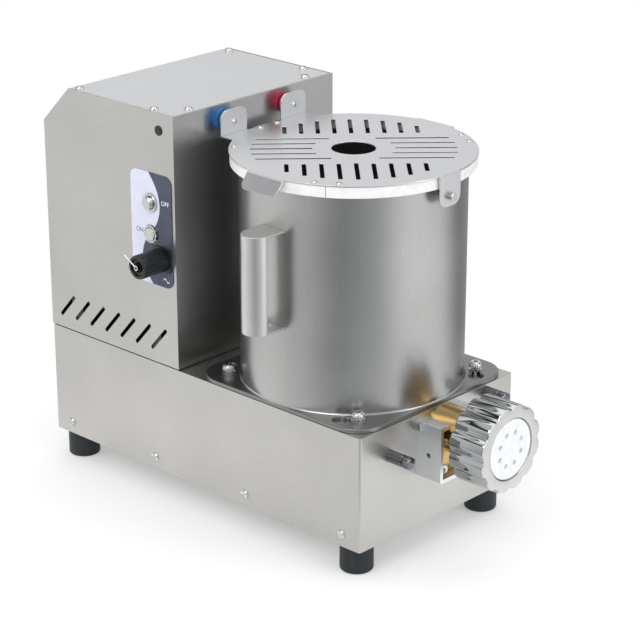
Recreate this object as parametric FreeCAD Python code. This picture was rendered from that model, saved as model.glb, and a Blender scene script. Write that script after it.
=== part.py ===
import FreeCAD, Part
import math
import os

# Electric pasta maker: a kneading bowl stands on a stainless base, a tower beside it holds the gearmotor,
# and an auger under the bowl presses dough through a die at the front.
# Millimetres. +Z up, +X towards the die, the control side faces -Y. The model is drawn about the centre
# of the base and moved at the end, so that the origin is the bottom centre of the whole machine.

# Base and tower casings
base_length = 428.0
base_width = 220.0
base_height = 116.0
sheet = 1.5
bend_radius = 2.5
foot_height = 28.0
foot_radius = 16.2
foot_inset_x = 20.4
foot_inset_y = 18.6
foot_edge = 1.5
foot_recess_radius = 7.0
foot_recess_depth = 10.0
foot_bolt_radius = 3.0
foot_bolt_head_radius = 5.5
foot_bolt_head_height = 4.0
foot_bolt_reach = 6.0
tray_lip_height = 20.0
tray_gap = 0.3
tower_length = 188.0
tower_height = 257.0
tower_chamfer = 39.0
tower_lip = 15.0
tower_floor_lip = 6.0
cover_gap = 0.6
cover_fold = 9.0

# Fasteners
pan_head_radius = 4.9
pan_head_height = 2.6
pan_crown = 0.62
pan_edge = 0.4
pan_slot_width = 1.0
pan_slot_depth = 1.1
screw_clearance = 0.3
base_screw_inset = 23.5
base_screw_count = 4
base_screw_rise = 12.0
cover_screw_edge = 7.5
cover_screw_rear = 47.5
cover_screw_front = 34.0
cover_screw_nose = 10.0
cover_screw_spread = 80.0

# Ventilation slots in the tower's two long sides
vent_count = 7
vent_pitch = 22.6
vent_width = 4.0
vent_run = 19.3
vent_rise = 21.5
vent_start = 25.2
vent_height = 26.0

# Control panel
overlay_thickness = 0.8
overlay_width = 57.0
overlay_height = 113.0
overlay_front_margin = 4.0
overlay_top_margin = 61.0
overlay_corner = 9.0
button_from_front = 33.0
off_button_drop = 91.0
on_button_drop = 123.0
collar_radius = 9.2
collar_height = 3.0
collar_notch_depth = 0.9
collar_notch_count = 12
button_bore = 7.0
button_body_radius = 7.8
button_body_length = 24.0
button_hole_clearance = 0.3
button_cap_radius = 6.6
off_cap_proud = 4.4
on_cap_proud = 0.8
button_travel = 2.5
button_stem_radius = 3.0
button_stem_length = 14.0
switch_block_size = 15.0
switch_block_depth = 17.0
switch_gap = 0.5
plug_from_front = 20.0
plug_drop = 17.0
plug_radius = 5.0
plug_height = 1.4
plug_stem_radius = 3.6
plug_stem_length = 5.0

# Auxiliary socket with its turning cap
socket_from_front = 18.0
socket_drop = 145.4
socket_flange_size = 25.0
socket_flange_thickness = 2.5
socket_radius = 9.6
socket_neck_length = 13.0
socket_tail_radius = 8.2
socket_tail_length = 14.0
socket_cap_radius = 12.0
socket_cap_length = 32.0
socket_cap_wall = 2.0
socket_cap_rib_count = 24
socket_cap_rib_depth = 0.7
socket_cap_recess_radius = 8.6
socket_cap_recess = 2.5
socket_cap_hub_radius = 4.2
eyelet_radius = 2.6
eyelet_length = 5.0
eyelet_tail_radius = 0.8
eyelet_tail_length = 16.0
cap_clearance = 0.3

# Bowl, flange plate and bayonet
flange_margin = 0.5
flange_size = base_width - 2 * flange_margin
flange_front_inset = 1.0
flange_thickness = 4.0
flange_corner = 30.0
bowl_margin = 1.0
bowl_radius = flange_size / 2 - bowl_margin
bowl_wall = 1.5
bowl_height = 218.0
bowl_weld = 2.0
bayonet_radius = bowl_radius + 11.5
bayonet_turn = 8.0
bayonet_head_radius = 6.6
bayonet_neck_radius = 3.2
bayonet_head_gap = 0.3
bayonet_dome_height = 4.5
bayonet_crown = 0.55
bayonet_step_height = 3.5
bayonet_socket_radius = 2.6
bayonet_socket_depth = 3.0
keyhole_clearance = 0.6
flange_sweep = 6.0
flange_relief = 0.5
handle_width = 31.0
handle_grip_width = 28.0
handle_reach = 36.5
handle_height = 96.0
handle_bottom = 82.0
handle_sheet = 2.0
handle_hole_radius = 2.0
feed_start = 54.0
feed_length = 38.0
feed_width = 25.0

# Lid
lid_radius = bowl_radius + 9.0
lid_sheet = 1.5
lid_hole_radius = 21.0
lid_slot_count = 9
lid_slot_pitch = 16.0
lid_slot_width = 4.0
lid_slot_inner = 48.5
lid_slot_outer_radius = bowl_radius - 11.0
lid_thin_count = 5
lid_thin_inner_radius = 39.0
lid_fold_offset = lid_radius + 1.5
lid_side_tab_width = 45.0
lid_side_tab_length = 17.0
lid_side_tab_angle = 51.0
lid_side_tab_corner = 7.0
lid_magnet_tab_width = 35.0
lid_magnet_tab_height = 22.5
lid_magnet_tab_spread = 41.0
lid_magnet_tab_corner = 9.0
lid_pin_tab_width = 29.0
lid_pin_tab_length = 29.0
lid_pin_tab_corner = 10.0
lid_ring_radius = lid_radius - 1.0
lid_ring_height = 10.7
lid_ring_inner = bowl_radius - 8.0
lid_ring_seam = 0.5
lid_ring_joints = 3
lid_seam_angle = 60.0
rim_overlap = 4.4
rim_gap = 0.3
groove_clearance = 0.6
lid_screw_radius = bowl_radius + 3.5
lid_screw_angle = 5.8
lid_screw_head_radius = 3.4
lid_screw_head_height = 1.6
lid_screw_shank_radius = 1.5
lid_extra_screw_angle = 221.0
magnet_radius = 10.0
magnet_length = 10.0
magnet_rib_count = 18
magnet_rib_depth = 0.8
magnet_rise = 11.0
magnet_screw_reach = 6.0
lid_pin_radius = 4.0
lid_pin_rise = 8.0
lid_pin_proud = 5.0
lid_pin_wall_gap = 0.5

# Extrusion head at the front
auger_drop = 18.5
bracket_length = 30.5
bracket_width = 64.0
bracket_height = 57.0
bracket_top_drop = 5.3
bracket_wall = 4.0
bracket_corner = 3.0
bracket_set_hole_radius = 2.6
neck_radius = 22.5
neck_length = 48.0
head_body_length = 20.0
head_body_gap = 0.3
nose_radius = 33.0
nose_length = 28.0
barrel_radius = 21.0
barrel_top_gap = 0.3
barrel_rear = 42.0
barrel_end_wall = 10.0
auger_bore = 14.5
auger_gap = 0.3
auger_turns = 5
auger_root_share = 0.3
auger_run_out = 0.4
die_radius = 31.5
die_thickness = 8.0
die_boss_radius = 29.6
die_boss_height = 3.4
die_hole_radius = 2.5
die_hole_ring = 16.5
die_hole_count = 8
ring_nut_radius = 43.0
ring_nut_length = 40.0
ring_nut_lobes = 12
ring_nut_flute_radius = 6.2
ring_nut_flute_depth = 3.0
ring_nut_window_radius = 30.0
ring_nut_lip = 4.0
ring_nut_back_gap = 0.5
ring_nut_edge = 0.8
thread_gap = 0.3
head_screw_radius = 5.6
head_screw_height = 6.0
head_screw_key = 2.5
head_screw_spread = 21.5
head_screw_upper_drop = 6.0
head_screw_lower_drop = 34.0
front_plate_thickness = 6.0
front_plate_width = base_width - 50.0
front_plate_height = 78.0
accessory_offset_y = 69.0
accessory_offset_z = 11.0
accessory_radius = 6.0
accessory_length = 27.0
accessory_tip_length = 7.5
accessory_groove_length = 2.0
accessory_groove_radius = 4.6
clip_size = 8.0

# Drive train inside the base and the tower
lay_drop = 50.0
lay_radius = 7.0
lay_rear = 168.0
lay_end_gap = 2.0
mixer_shaft_radius = 8.0
mixer_bush_radius = 14.0
running_gap = 0.05
gear_module = 2.0
lay_gear_teeth = 36
auger_gear_teeth = 14
spur_width = 11.0
spur_rear_offset = 28.0
gear_backlash = 0.8
bevel_teeth = 16
bevel_radius = 24.0
bevel_width = 9.0
tooth_addendum = 0.8
tooth_dedendum = 1.15
motor_radius = 58.0
motor_bore = 34.0
motor_length = 96.0
motor_rise = 106.0
motor_shield = 6.0
rotor_gap = 0.5
gearbox_radius = 46.0
gearbox_length = 36.0
motor_front_gap = 26.0
motor_shaft_radius = 7.0
fan_radius = 46.0
fan_blades = 8
fan_width = 12.0
fan_gap = 3.0
pulley_width = 16.0
pulley_flange = 1.5
pulley_flange_rise = 3.0
pulley_wall_gap = 4.0
output_pulley_radius = 20.0
lay_pulley_radius = 30.0
belt_thickness = 3.0
belt_gap = 0.3
belt_side_gap = 0.5
support_thickness = 6.0
support_width = 60.0
bearing_outer = 13.0
bearing_width = 8.0
motor_plate_thickness = 4.0
paddle_hub_radius = 15.0
paddle_hub_height = 44.0
paddle_reach = bowl_radius - 10.5
paddle_floor_gap = 1.0
paddle_blade_thickness = 6.0
paddle_blade_height = 16.0
paddle_post_height = 86.0
paddle_post_width = 14.0
paddle_cap_height = 6.0
board_size_y = 90.0
board_size_z = 70.0
board_thickness = 1.6
board_edge = 10.0
# each one: place across and up the board, and its size
board_components = ((-30.0, 14.0, 10.0), (0.0, 36.0, 9.0), (28.0, 14.0, 10.0), (-20.0, 56.0, 8.0), (22.0, 50.0, 10.0))
reed_size = 9.0
reed_length = 22.0
gland_radius = 11.0
gland_nut_length = 8.0
gland_dome_length = 10.0
gland_bore = 4.5
gland_rise = 36.0

X = FreeCAD.Vector(1, 0, 0)
Y = FreeCAD.Vector(0, 1, 0)
Z = FreeCAD.Vector(0, 0, 1)
ORIGIN = FreeCAD.Vector(0, 0, 0)
EPS = 0.01
OVER = 1.0
FULL = 360.0

# Places worked out from the sizes above
x_rear = -base_length / 2
x_front = base_length / 2
side = base_width / 2
base_bottom = foot_height
base_top = foot_height + base_height
tower_front = x_rear + tower_length
tower_top = base_top + tower_height
bowl_x = x_front - flange_front_inset - flange_size / 2
bowl_floor = base_top + flange_thickness
bowl_rim = bowl_floor + bowl_height
ring_bottom = bowl_rim - rim_overlap
lid_bottom = ring_bottom + lid_ring_height
lid_top = lid_bottom + lid_sheet
auger_z = base_top - auger_drop
lay_z = auger_z - lay_drop
ring_back = x_front + neck_length
ring_front = ring_back + ring_nut_length
nose_front = ring_back + ring_nut_back_gap + nose_length
button_x = tower_front - button_from_front
off_z = tower_top - off_button_drop
on_z = tower_top - on_button_drop
socket_x = tower_front - socket_from_front
socket_z = tower_top - socket_drop
barrel_back = bowl_x + barrel_rear
lay_front = barrel_back + support_thickness + lay_end_gap
motor_z = base_top + motor_rise
motor_front = tower_front - motor_front_gap
pulley_front = tower_front - sheet - pulley_wall_gap
pulley_back = pulley_front - pulley_width
magnet_z = lid_top + magnet_rise
die_front = ring_front - ring_nut_lip
die_back = die_front - die_thickness


def v(x, y, z):
    return FreeCAD.Vector(x, y, z)


def box(x0, x1, y0, y1, z0, z1):
    return Part.makeBox(x1 - x0, y1 - y0, z1 - z0, v(x0, y0, z0))


def rod(radius, start, direction, length):
    return Part.makeCylinder(radius, length, start, direction)


def tube(outer, inner, start, direction, length):
    bore = rod(inner, start - direction * OVER, direction, length + 2 * OVER)
    return rod(outer, start, direction, length).cut(bore)


def join(shapes):
    whole = shapes[0]
    for shape in shapes[1:]:
        whole = whole.fuse(shape)
    return whole.removeSplitter()


def cut_all(shape, tools):
    return shape.cut(Part.makeCompound(tools))


def prism(points, travel):
    wire = Part.makePolygon(points + [points[0]])
    return Part.Face(wire).extrude(travel)


def edges_along(shape, direction):
    found = []
    for edge in shape.Edges:
        if not isinstance(edge.Curve, Part.Line):
            continue
        run = edge.Vertexes[1].Point - edge.Vertexes[0].Point
        if abs(abs(run.normalize().dot(direction)) - 1.0) < EPS:
            found.append(edge)
    return found


def turned(shape, angle, axis=Z, centre=ORIGIN):
    copy = shape.copy()
    copy.rotate(centre, axis, angle)
    return copy


def moved(shape, offset):
    copy = shape.copy()
    copy.translate(offset)
    return copy


def revolved(profile, start, direction):
    # profile: (radius, distance along the axis) pairs of a closed outline, turned about +Z then aimed
    points = [v(radius, 0, along) for radius, along in profile]
    body = Part.Face(Part.makePolygon(points + [points[0]])).revolve(ORIGIN, Z, FULL)
    body.Placement = FreeCAD.Placement(start, FreeCAD.Rotation(Z, direction))
    return body


def pan_screw(start, direction, head_radius, head_height, shank_radius=0.0, shank_length=0.0):
    # a bevelled head that sits on the sheet at start, any shank going the other way
    profile = [(0, head_height), (head_radius * pan_crown, head_height), (head_radius, head_height * pan_edge),
               (head_radius, 0)]
    if shank_radius:
        profile += [(shank_radius, 0), (shank_radius, -shank_length), (0, -shank_length)]
    else:
        profile.append((0, 0))
    return revolved(profile, start, direction)


def slotted(screw, start, direction, across):
    third = direction.cross(across)
    reach = pan_head_radius + OVER
    corner = start + direction * (pan_head_height - pan_slot_depth)
    points = []
    for s, t in ((-1, -1), (1, -1), (1, 1), (-1, 1)):
        points.append(corner + across * (s * reach) + third * (t * pan_slot_width / 2))
    return screw.cut(prism(points, direction * (pan_slot_depth + OVER)))


def screw_hole(start, direction, radius):
    return rod(radius + screw_clearance, start + direction * OVER, direction * -1, 2 * sheet + 2 * OVER)


def base_screw_places():
    step = (base_length - 2 * base_screw_inset) / (base_screw_count - 1)
    places = []
    for facing in (-1, 1):
        for index in range(base_screw_count):
            x = x_rear + base_screw_inset + index * step
            places.append((v(x, facing * side, base_bottom + base_screw_rise), Y * facing))
    return places


def cover_screw_places():
    places = []
    for facing in (-1, 1):
        y = facing * (side - cover_screw_edge)
        places.append(v(x_rear + cover_screw_rear, y, tower_top))
        places.append(v(tower_front - cover_screw_front, y, tower_top))
        places.append(v(tower_front - cover_screw_nose, facing * cover_screw_spread, tower_top))
    return places


def accessory_places():
    return [v(x_front, -accessory_offset_y, auger_z - accessory_offset_z),
            v(x_front, accessory_offset_y, auger_z + accessory_offset_z)]


def head_screw_places():
    places = []
    for y in (-head_screw_spread, head_screw_spread):
        for drop in (head_screw_upper_drop, head_screw_lower_drop):
            places.append(v(x_front, y, auger_z - drop))
    return places


def bayonet_places():
    places = []
    for index in range(4):
        angle = math.radians(45 + 90 * index)
        places.append(v(bowl_x + bayonet_radius * math.cos(angle), bayonet_radius * math.sin(angle), base_top))
    return places


def foot_places():
    places = []
    for x in (x_rear + foot_inset_x, x_front - foot_inset_x):
        for y in (-side + foot_inset_y, side - foot_inset_y):
            places.append(v(x, y, 0))
    return places


def feed_slot(z0, z1, grow=0.0):
    half = feed_width / 2 + grow
    start = bowl_x + feed_start - grow
    return box(start, start + feed_length + 2 * grow, -half, half, z0, z1)


def base_casing():
    outer = box(x_rear, x_front, -side, side, base_bottom, base_top)
    outer = outer.makeFillet(bend_radius, edges_along(outer, Z))
    inner = box(x_rear + sheet, x_front - sheet, -side + sheet, side - sheet, base_bottom - OVER, base_top - sheet)
    shell = outer.cut(inner)
    low = base_top - sheet - OVER
    high = base_top + OVER
    tools = [box(x_rear + sheet + tower_floor_lip, tower_front - tower_floor_lip,
                 -side + sheet + tower_floor_lip, side - sheet - tower_floor_lip, low, high)]
    tools.append(rod(mixer_bush_radius + running_gap, v(bowl_x, 0, low), Z, sheet + 2 * OVER))
    tools.append(feed_slot(low, high))
    tools.append(rod(barrel_radius + screw_clearance, v(x_front - sheet - OVER, 0, auger_z), X, sheet + 2 * OVER)
                 .cut(box(x_front - 2 * sheet, x_front + sheet, -side, side, base_top - sheet, high)))
    tools += [screw_hole(place, Z, bayonet_neck_radius) for place in bayonet_places()]
    tools.append(rod(gland_bore + gland_radius / 4, v(x_rear - OVER, 0, base_bottom + gland_rise), X, 2 * sheet + OVER))
    return cut_all(shell, tools)


def bottom_plate():
    inset = sheet + tray_gap
    outer = box(x_rear + inset, x_front - inset, -side + inset, side - inset,
                base_bottom, base_bottom + tray_lip_height)
    inner = box(x_rear + inset + sheet, x_front - inset - sheet, -side + inset + sheet, side - inset - sheet,
                base_bottom + sheet, base_bottom + tray_lip_height + OVER)
    tools = []
    for place in foot_places():
        tools.append(rod(foot_bolt_radius + screw_clearance, place + Z * (base_bottom - OVER), Z, sheet + 2 * OVER))
    return cut_all(outer.cut(inner), tools)


def rubber_feet():
    bore = foot_bolt_radius + screw_clearance
    profile = [(bore, foot_height), (foot_radius, foot_height), (foot_radius, foot_edge),
               (foot_radius - foot_edge, 0), (foot_recess_radius, 0), (foot_recess_radius, foot_recess_depth),
               (bore, foot_recess_depth)]
    return Part.makeCompound([revolved(profile, place, Z) for place in foot_places()])


def foot_bolts():
    bolts = []
    for place in foot_places():
        seat = place + Z * foot_recess_depth
        head = rod(foot_bolt_head_radius, seat - Z * foot_bolt_head_height, Z, foot_bolt_head_height)
        shank = rod(foot_bolt_radius, seat, Z, foot_height - foot_recess_depth + sheet + foot_bolt_reach)
        bolts.append(join([head, shank]))
    return Part.makeCompound(bolts)


def base_screws():
    screws = []
    for place, facing in base_screw_places():
        screw = pan_screw(place, facing, pan_head_radius, pan_head_height)
        screws.append(slotted(screw, place, facing, (X + Z).normalize()))
    return Part.makeCompound(screws)


def tower_outline(grow, y):
    # side view of the tower, its sloping rear corner included
    x0 = x_rear - grow
    x1 = tower_front + grow
    z1 = tower_top + grow
    shift = grow * math.tan(math.radians(22.5))
    return [v(x0, y, base_top), v(x1, y, base_top), v(x1, y, z1),
            v(x_rear + tower_chamfer - shift, y, z1), v(x0, y, tower_top - tower_chamfer + shift)]


def vent_slots(y0, y1):
    angle = math.degrees(math.atan2(vent_rise, vent_run))
    length = math.hypot(vent_run, vent_rise)
    slots = []
    for index in range(vent_count):
        centre = v(x_rear + vent_start + index * vent_pitch, y0, base_top + vent_height)
        bar = box(-length / 2, length / 2, 0, y1 - y0, -vent_width / 2, vent_width / 2)
        ends = [rod(vent_width / 2, v(s * length / 2, 0, 0), Y, y1 - y0) for s in (-1, 1)]
        slots.append(moved(turned(join([bar] + ends), -angle, Y), centre))
    return slots


def tower_casing():
    outer = prism(tower_outline(0, -side), Y * base_width)
    hollow = prism(tower_outline(-sheet, -side + sheet), Y * (base_width - 2 * sheet))
    below = box(x_rear + sheet, tower_front - sheet, -side + sheet, side - sheet, base_top - OVER, base_top + sheet)
    shell = outer.cut(hollow).cut(below)
    # the top and the sloping rear are open, with a lip all round that the cover lies on
    mouth_y = side - sheet - tower_lip
    opening = prism([v(x_rear + tower_lip, -mouth_y, tower_top - tower_chamfer - tower_lip),
                     v(x_rear + tower_chamfer, -mouth_y, tower_top - 2 * sheet - OVER),
                     v(tower_front - sheet - tower_lip, -mouth_y, tower_top - 2 * sheet - OVER),
                     v(tower_front - sheet - tower_lip, -mouth_y, tower_top + OVER),
                     v(x_rear + tower_chamfer - OVER, -mouth_y, tower_top + OVER)], Y * (2 * mouth_y))
    seat = cover_sheet(cover_gap)
    lip = prism(tower_outline(-sheet, -side + sheet), Y * (base_width - 2 * sheet))
    lip = lip.cut(prism(tower_outline(-2 * sheet, -side), Y * base_width))
    rear = x_rear + tower_chamfer + OVER
    under = prism([v(x_rear - OVER, -side, tower_top - tower_chamfer - OVER), v(rear, -side, tower_top + OVER),
                   v(tower_front, -side, tower_top + OVER), v(tower_front, -side, tower_top - 2 * sheet),
                   v(rear, -side, tower_top - 2 * sheet),
                   v(x_rear + 3 * sheet, -side, tower_top - tower_chamfer - OVER)], Y * base_width)
    lip = lip.common(under)
    wall = join([shell, lip]).cut(seat).cut(opening)
    tools = vent_slots(-side - OVER, -side + 2 * sheet) + vent_slots(side - 2 * sheet, side + OVER)
    for z in (off_z, on_z):
        tools.append(rod(button_body_radius + button_hole_clearance, v(button_x, -side - OVER, z), Y, 3 * sheet))
    tools.append(rod(socket_tail_radius + cap_clearance, v(socket_x, -side - OVER, socket_z), Y, 3 * sheet))
    tools.append(rod(plug_stem_radius + cap_clearance, v(tower_front - plug_from_front, -side - OVER,
                                                        tower_top - plug_drop), Y, 3 * sheet))
    return cut_all(wall, tools)


def cover_sheet(grow):
    # flat top and sloping rear of the cover, grown for the opening that it drops into
    edge = side - sheet + grow - cover_gap
    whole = prism(tower_outline(0, -edge), Y * (2 * edge))
    core = prism(tower_outline(-sheet, -edge - OVER), Y * (2 * edge + 2 * OVER))
    slab = whole.cut(core)
    front = tower_front - sheet + grow - cover_gap
    rear_low = tower_top - tower_chamfer + cover_gap - grow
    return slab.common(box(x_rear - OVER, front, -side, side, rear_low, tower_top + OVER))


def tower_top_cover():
    return cover_sheet(0)


def top_cover_screws():
    screws = []
    for place in cover_screw_places():
        screws.append(slotted(pan_screw(place, Z, pan_head_radius, pan_head_height), place, Z, X))
    return Part.makeCompound(screws)


def overlay_outline(y):
    x1 = tower_front - overlay_front_margin
    x0 = x1 - overlay_width
    z1 = tower_top - overlay_top_margin
    z0 = z1 - overlay_height
    sheet_shape = box(x0, x1, y - overlay_thickness, y, z0, z1)
    return sheet_shape.makeFillet(overlay_corner, edges_along(sheet_shape, Y))


def overlay_divider():
    # the S-shaped colour boundary, as places across and down the panel
    x1 = tower_front - overlay_front_margin
    z1 = tower_top - overlay_top_margin
    across = [40.0, 25.0, 16.5, 24.0, 36.0, 42.0, 36.0, 12.0]
    down = [-8.0, 8.0, 31.0, 54.0, 68.0, 84.0, 103.0, 124.0]
    y = -side - overlay_thickness - OVER
    points = [v(x1 - a, y, z1 - d) for a, d in zip(across, down)]
    curve = Part.BSplineCurve()
    curve.interpolate(points)
    first = points[0]
    last = points[-1]
    far = x1 + overlay_corner
    rest = Part.makePolygon([last, v(far, y, last.z), v(far, y, first.z), first])
    wire = Part.Wire([curve.toShape()] + rest.Edges)
    return Part.Face(wire).extrude(Y * (overlay_thickness + 2 * OVER))


def overlay_holes():
    tools = []
    for z in (off_z, on_z):
        tools.append(rod(collar_radius + cap_clearance, v(button_x, -side - 2 * OVER, z), Y, 3 * OVER))
    half = socket_flange_size / 2 + cap_clearance
    tools.append(box(socket_x - half, socket_x + half, -side - 2 * OVER, -side + OVER, socket_z - half, socket_z + half))
    return tools


def overlay_light():
    return cut_all(overlay_outline(-side).cut(overlay_divider()), overlay_holes())


def overlay_dark():
    return cut_all(overlay_outline(-side).common(overlay_divider()), overlay_holes())


def button_collar(z, notched):
    face = v(button_x, -side - collar_height, z)
    if notched:
        collar = ribbed_rod(collar_radius, collar_notch_depth, collar_notch_count, face, Y, collar_height)
    else:
        collar = rod(collar_radius, face, Y, collar_height)
    body = rod(button_body_radius, v(button_x, -side, z), Y, button_body_length)
    bore = rod(button_bore, face - Y * OVER, Y, collar_height + button_body_length + 2 * OVER)
    nut = Part.makePolygon([v(button_x + 1.3 * collar_radius * math.cos(math.radians(60 * i)), -side + sheet,
                              z + 1.3 * collar_radius * math.sin(math.radians(60 * i))) for i in range(7)])
    nut = Part.Face(nut).extrude(Y * collar_height)
    return join([collar, body, nut]).cut(bore)


def button_cap(z, proud):
    front = -side - collar_height - proud
    length = proud + collar_height + button_stem_length / 2
    cap = rod(button_cap_radius, v(button_x, front, z), Y, length)
    cap = cap.makeChamfer(proud / 4 + collar_height / 8, [cap.Edges[2]])
    stem_end = -side + button_body_length - button_travel - switch_gap
    stem = rod(button_stem_radius, v(button_x, front + length, z), Y, stem_end - front - length)
    return join([cap, stem])


def switch_blocks():
    blocks = []
    half = switch_block_size / 2
    for z in (off_z, on_z):
        start = -side + button_body_length
        blocks.append(box(button_x - half, button_x + half, start, start + switch_block_depth, z - half, z + half))
    return Part.makeCompound(blocks)


def hole_plug():
    seat = v(tower_front - plug_from_front, -side, tower_top - plug_drop)
    return pan_screw(seat, Y * -1, plug_radius, plug_height, plug_stem_radius, plug_stem_length)


def auxiliary_socket():
    half = socket_flange_size / 2
    flange = box(socket_x - half, socket_x + half, -side - socket_flange_thickness, -side, socket_z - half,
                 socket_z + half)
    flange = flange.makeFillet(half / 4, edges_along(flange, Y))
    neck = tube(socket_radius - socket_cap_wall, socket_radius / 2, v(socket_x, -side, socket_z), Y * -1,
                socket_flange_thickness + socket_neck_length)
    tail = rod(socket_tail_radius, v(socket_x, -side, socket_z), Y, socket_tail_length)
    return join([flange, neck, tail])


def socket_cap():
    root = v(socket_x, -side - socket_flange_thickness - cap_clearance, socket_z)
    inside = socket_radius - socket_cap_wall + cap_clearance
    cap = ribbed_rod(socket_cap_radius, socket_cap_rib_depth, socket_cap_rib_count, root, Y * -1, socket_cap_length)
    cap = cap.cut(rod(inside, root + Y * OVER, Y * -1, socket_neck_length + OVER + cap_clearance))
    front = root - Y * socket_cap_length
    ring = tube(socket_cap_recess_radius, socket_cap_hub_radius, front, Y, socket_cap_recess)
    cap = cap.cut(ring)
    cap = cap.cut(rod(eyelet_radius, front - Y * OVER, Y, eyelet_length + OVER))
    return cap


def socket_cap_eyelet():
    # metal rivet in the middle of the cap, with the short wire tag that stands out of it
    front = v(socket_x, -side - socket_flange_thickness - cap_clearance - socket_cap_length, socket_z)
    rivet = tube(eyelet_radius, eyelet_radius / 2, front - Y * OVER, Y, eyelet_length + OVER)
    direction = v(-0.8, -0.12, 0.6).normalize()
    tag = rod(eyelet_tail_radius, front - Y * (OVER / 2) + direction * eyelet_radius / 2, direction,
              eyelet_tail_length)
    return join([rivet, tag])


def flange_holes(z0, z1):
    # bayonet keyholes: a round entry and a narrow arc that ends at the stud, about the bowl's axis
    tools = []
    depth = z1 - z0
    neck = bayonet_neck_radius + keyhole_clearance
    for index in range(4):
        angle = 45 + 90 * index
        entry = rod(bayonet_head_radius + keyhole_clearance, v(bayonet_radius, 0, z0), Z, depth)
        tools.append(turned(entry, angle - bayonet_turn))
        tools.append(turned(rod(neck, v(bayonet_radius, 0, z0), Z, depth), angle))
        arc = tube(bayonet_radius + neck, bayonet_radius - neck, v(0, 0, z0), Z, depth)
        reach = 2 * bayonet_radius
        wedge = prism([v(0, 0, z0), v(reach * math.cos(math.radians(angle - bayonet_turn)),
                                      reach * math.sin(math.radians(angle - bayonet_turn)), z0),
                       v(reach * math.cos(math.radians(angle)), reach * math.sin(math.radians(angle)), z0)], Z * depth)
        tools.append(arc.common(wedge))
    return [moved(tool, v(bowl_x, 0, 0)) for tool in tools]


def bowl_flange():
    half = flange_size / 2
    plate = box(bowl_x - half, bowl_x + half, -half, half, base_top, bowl_floor)
    plate = plate.makeFillet(flange_corner, edges_along(plate, Z))
    tools = flange_holes(base_top - OVER, bowl_floor + OVER)
    tools.append(rod(mixer_shaft_radius + screw_clearance, v(bowl_x, 0, base_top - OVER), Z,
                     flange_thickness + 2 * OVER))
    tools.append(feed_slot(base_top - OVER, bowl_floor + OVER))
    return cut_all(plate, tools)


def bowl_shell():
    wall = tube(bowl_radius, bowl_radius - bowl_wall, v(bowl_x, 0, bowl_floor), Z, bowl_height)
    seam = revolved([(bowl_radius - EPS, 0), (bowl_radius + bowl_weld, 0), (bowl_radius - EPS, bowl_weld)],
                    v(bowl_x, 0, bowl_floor), Z)
    return join([wall, seam])


def handle_plan(z, inset):
    # D-shaped plan of the handle: two straight flanks and a round nose, ending at the bowl's wall
    nose = handle_grip_width / 2 - inset
    root = handle_width / 2 - inset
    tip = -bowl_radius - handle_reach + handle_grip_width / 2
    start = -bowl_radius + handle_width / 4
    left = v(bowl_x - root, start, z)
    right = v(bowl_x + root, start, z)
    left_tip = v(bowl_x - nose, tip, z)
    right_tip = v(bowl_x + nose, tip, z)
    bow = Part.Arc(left_tip, v(bowl_x, tip - nose, z), right_tip)
    lines = [Part.LineSegment(right_tip, right), Part.LineSegment(right, left), Part.LineSegment(left, left_tip)]
    return Part.Face(Part.Wire([bow.toShape()] + [line.toShape() for line in lines]))


def bowl_handle():
    low = bowl_floor + handle_bottom - flange_thickness
    outer = handle_plan(low, 0).extrude(Z * handle_height)
    outer = outer.cut(rod(bowl_radius, v(bowl_x, 0, low - OVER), Z, handle_height + 2 * OVER))
    hollow = handle_plan(low + handle_sheet, handle_sheet).extrude(Z * (handle_height - 2 * handle_sheet))
    # the flanks stop at the grip, so that the hand goes between the grip and the bowl
    grip_back = -bowl_radius - handle_reach + handle_grip_width / 2
    gap = box(bowl_x - handle_width, bowl_x + handle_width, grip_back, -bowl_radius + handle_width,
              low + handle_sheet, low + handle_height - handle_sheet)
    drain = rod(handle_hole_radius, v(bowl_x, -bowl_radius - handle_hole_radius * 3, low - OVER), Z,
                handle_sheet + 2 * OVER)
    return outer.cut(hollow).cut(gap).cut(drain)


def lid_tab(width, length, corner, angle):
    # a tab on the +X side of the disc, folded down by angle at the fold line
    flat = box(lid_fold_offset - lid_fold_offset / 4, lid_fold_offset, -width / 2, width / 2, 0, lid_sheet)
    hang = box(lid_fold_offset - lid_sheet, lid_fold_offset - lid_sheet + length, -width / 2, width / 2, 0, lid_sheet)
    ends = [edge for edge in edges_along(hang, Z) if edge.CenterOfMass.x > lid_fold_offset]
    hang = hang.makeFillet(corner, ends)
    pivot = v(lid_fold_offset - lid_sheet, 0, 0 if angle > 0 else lid_sheet)
    hang.rotate(pivot, Y, angle)
    return flat, hang


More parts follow.
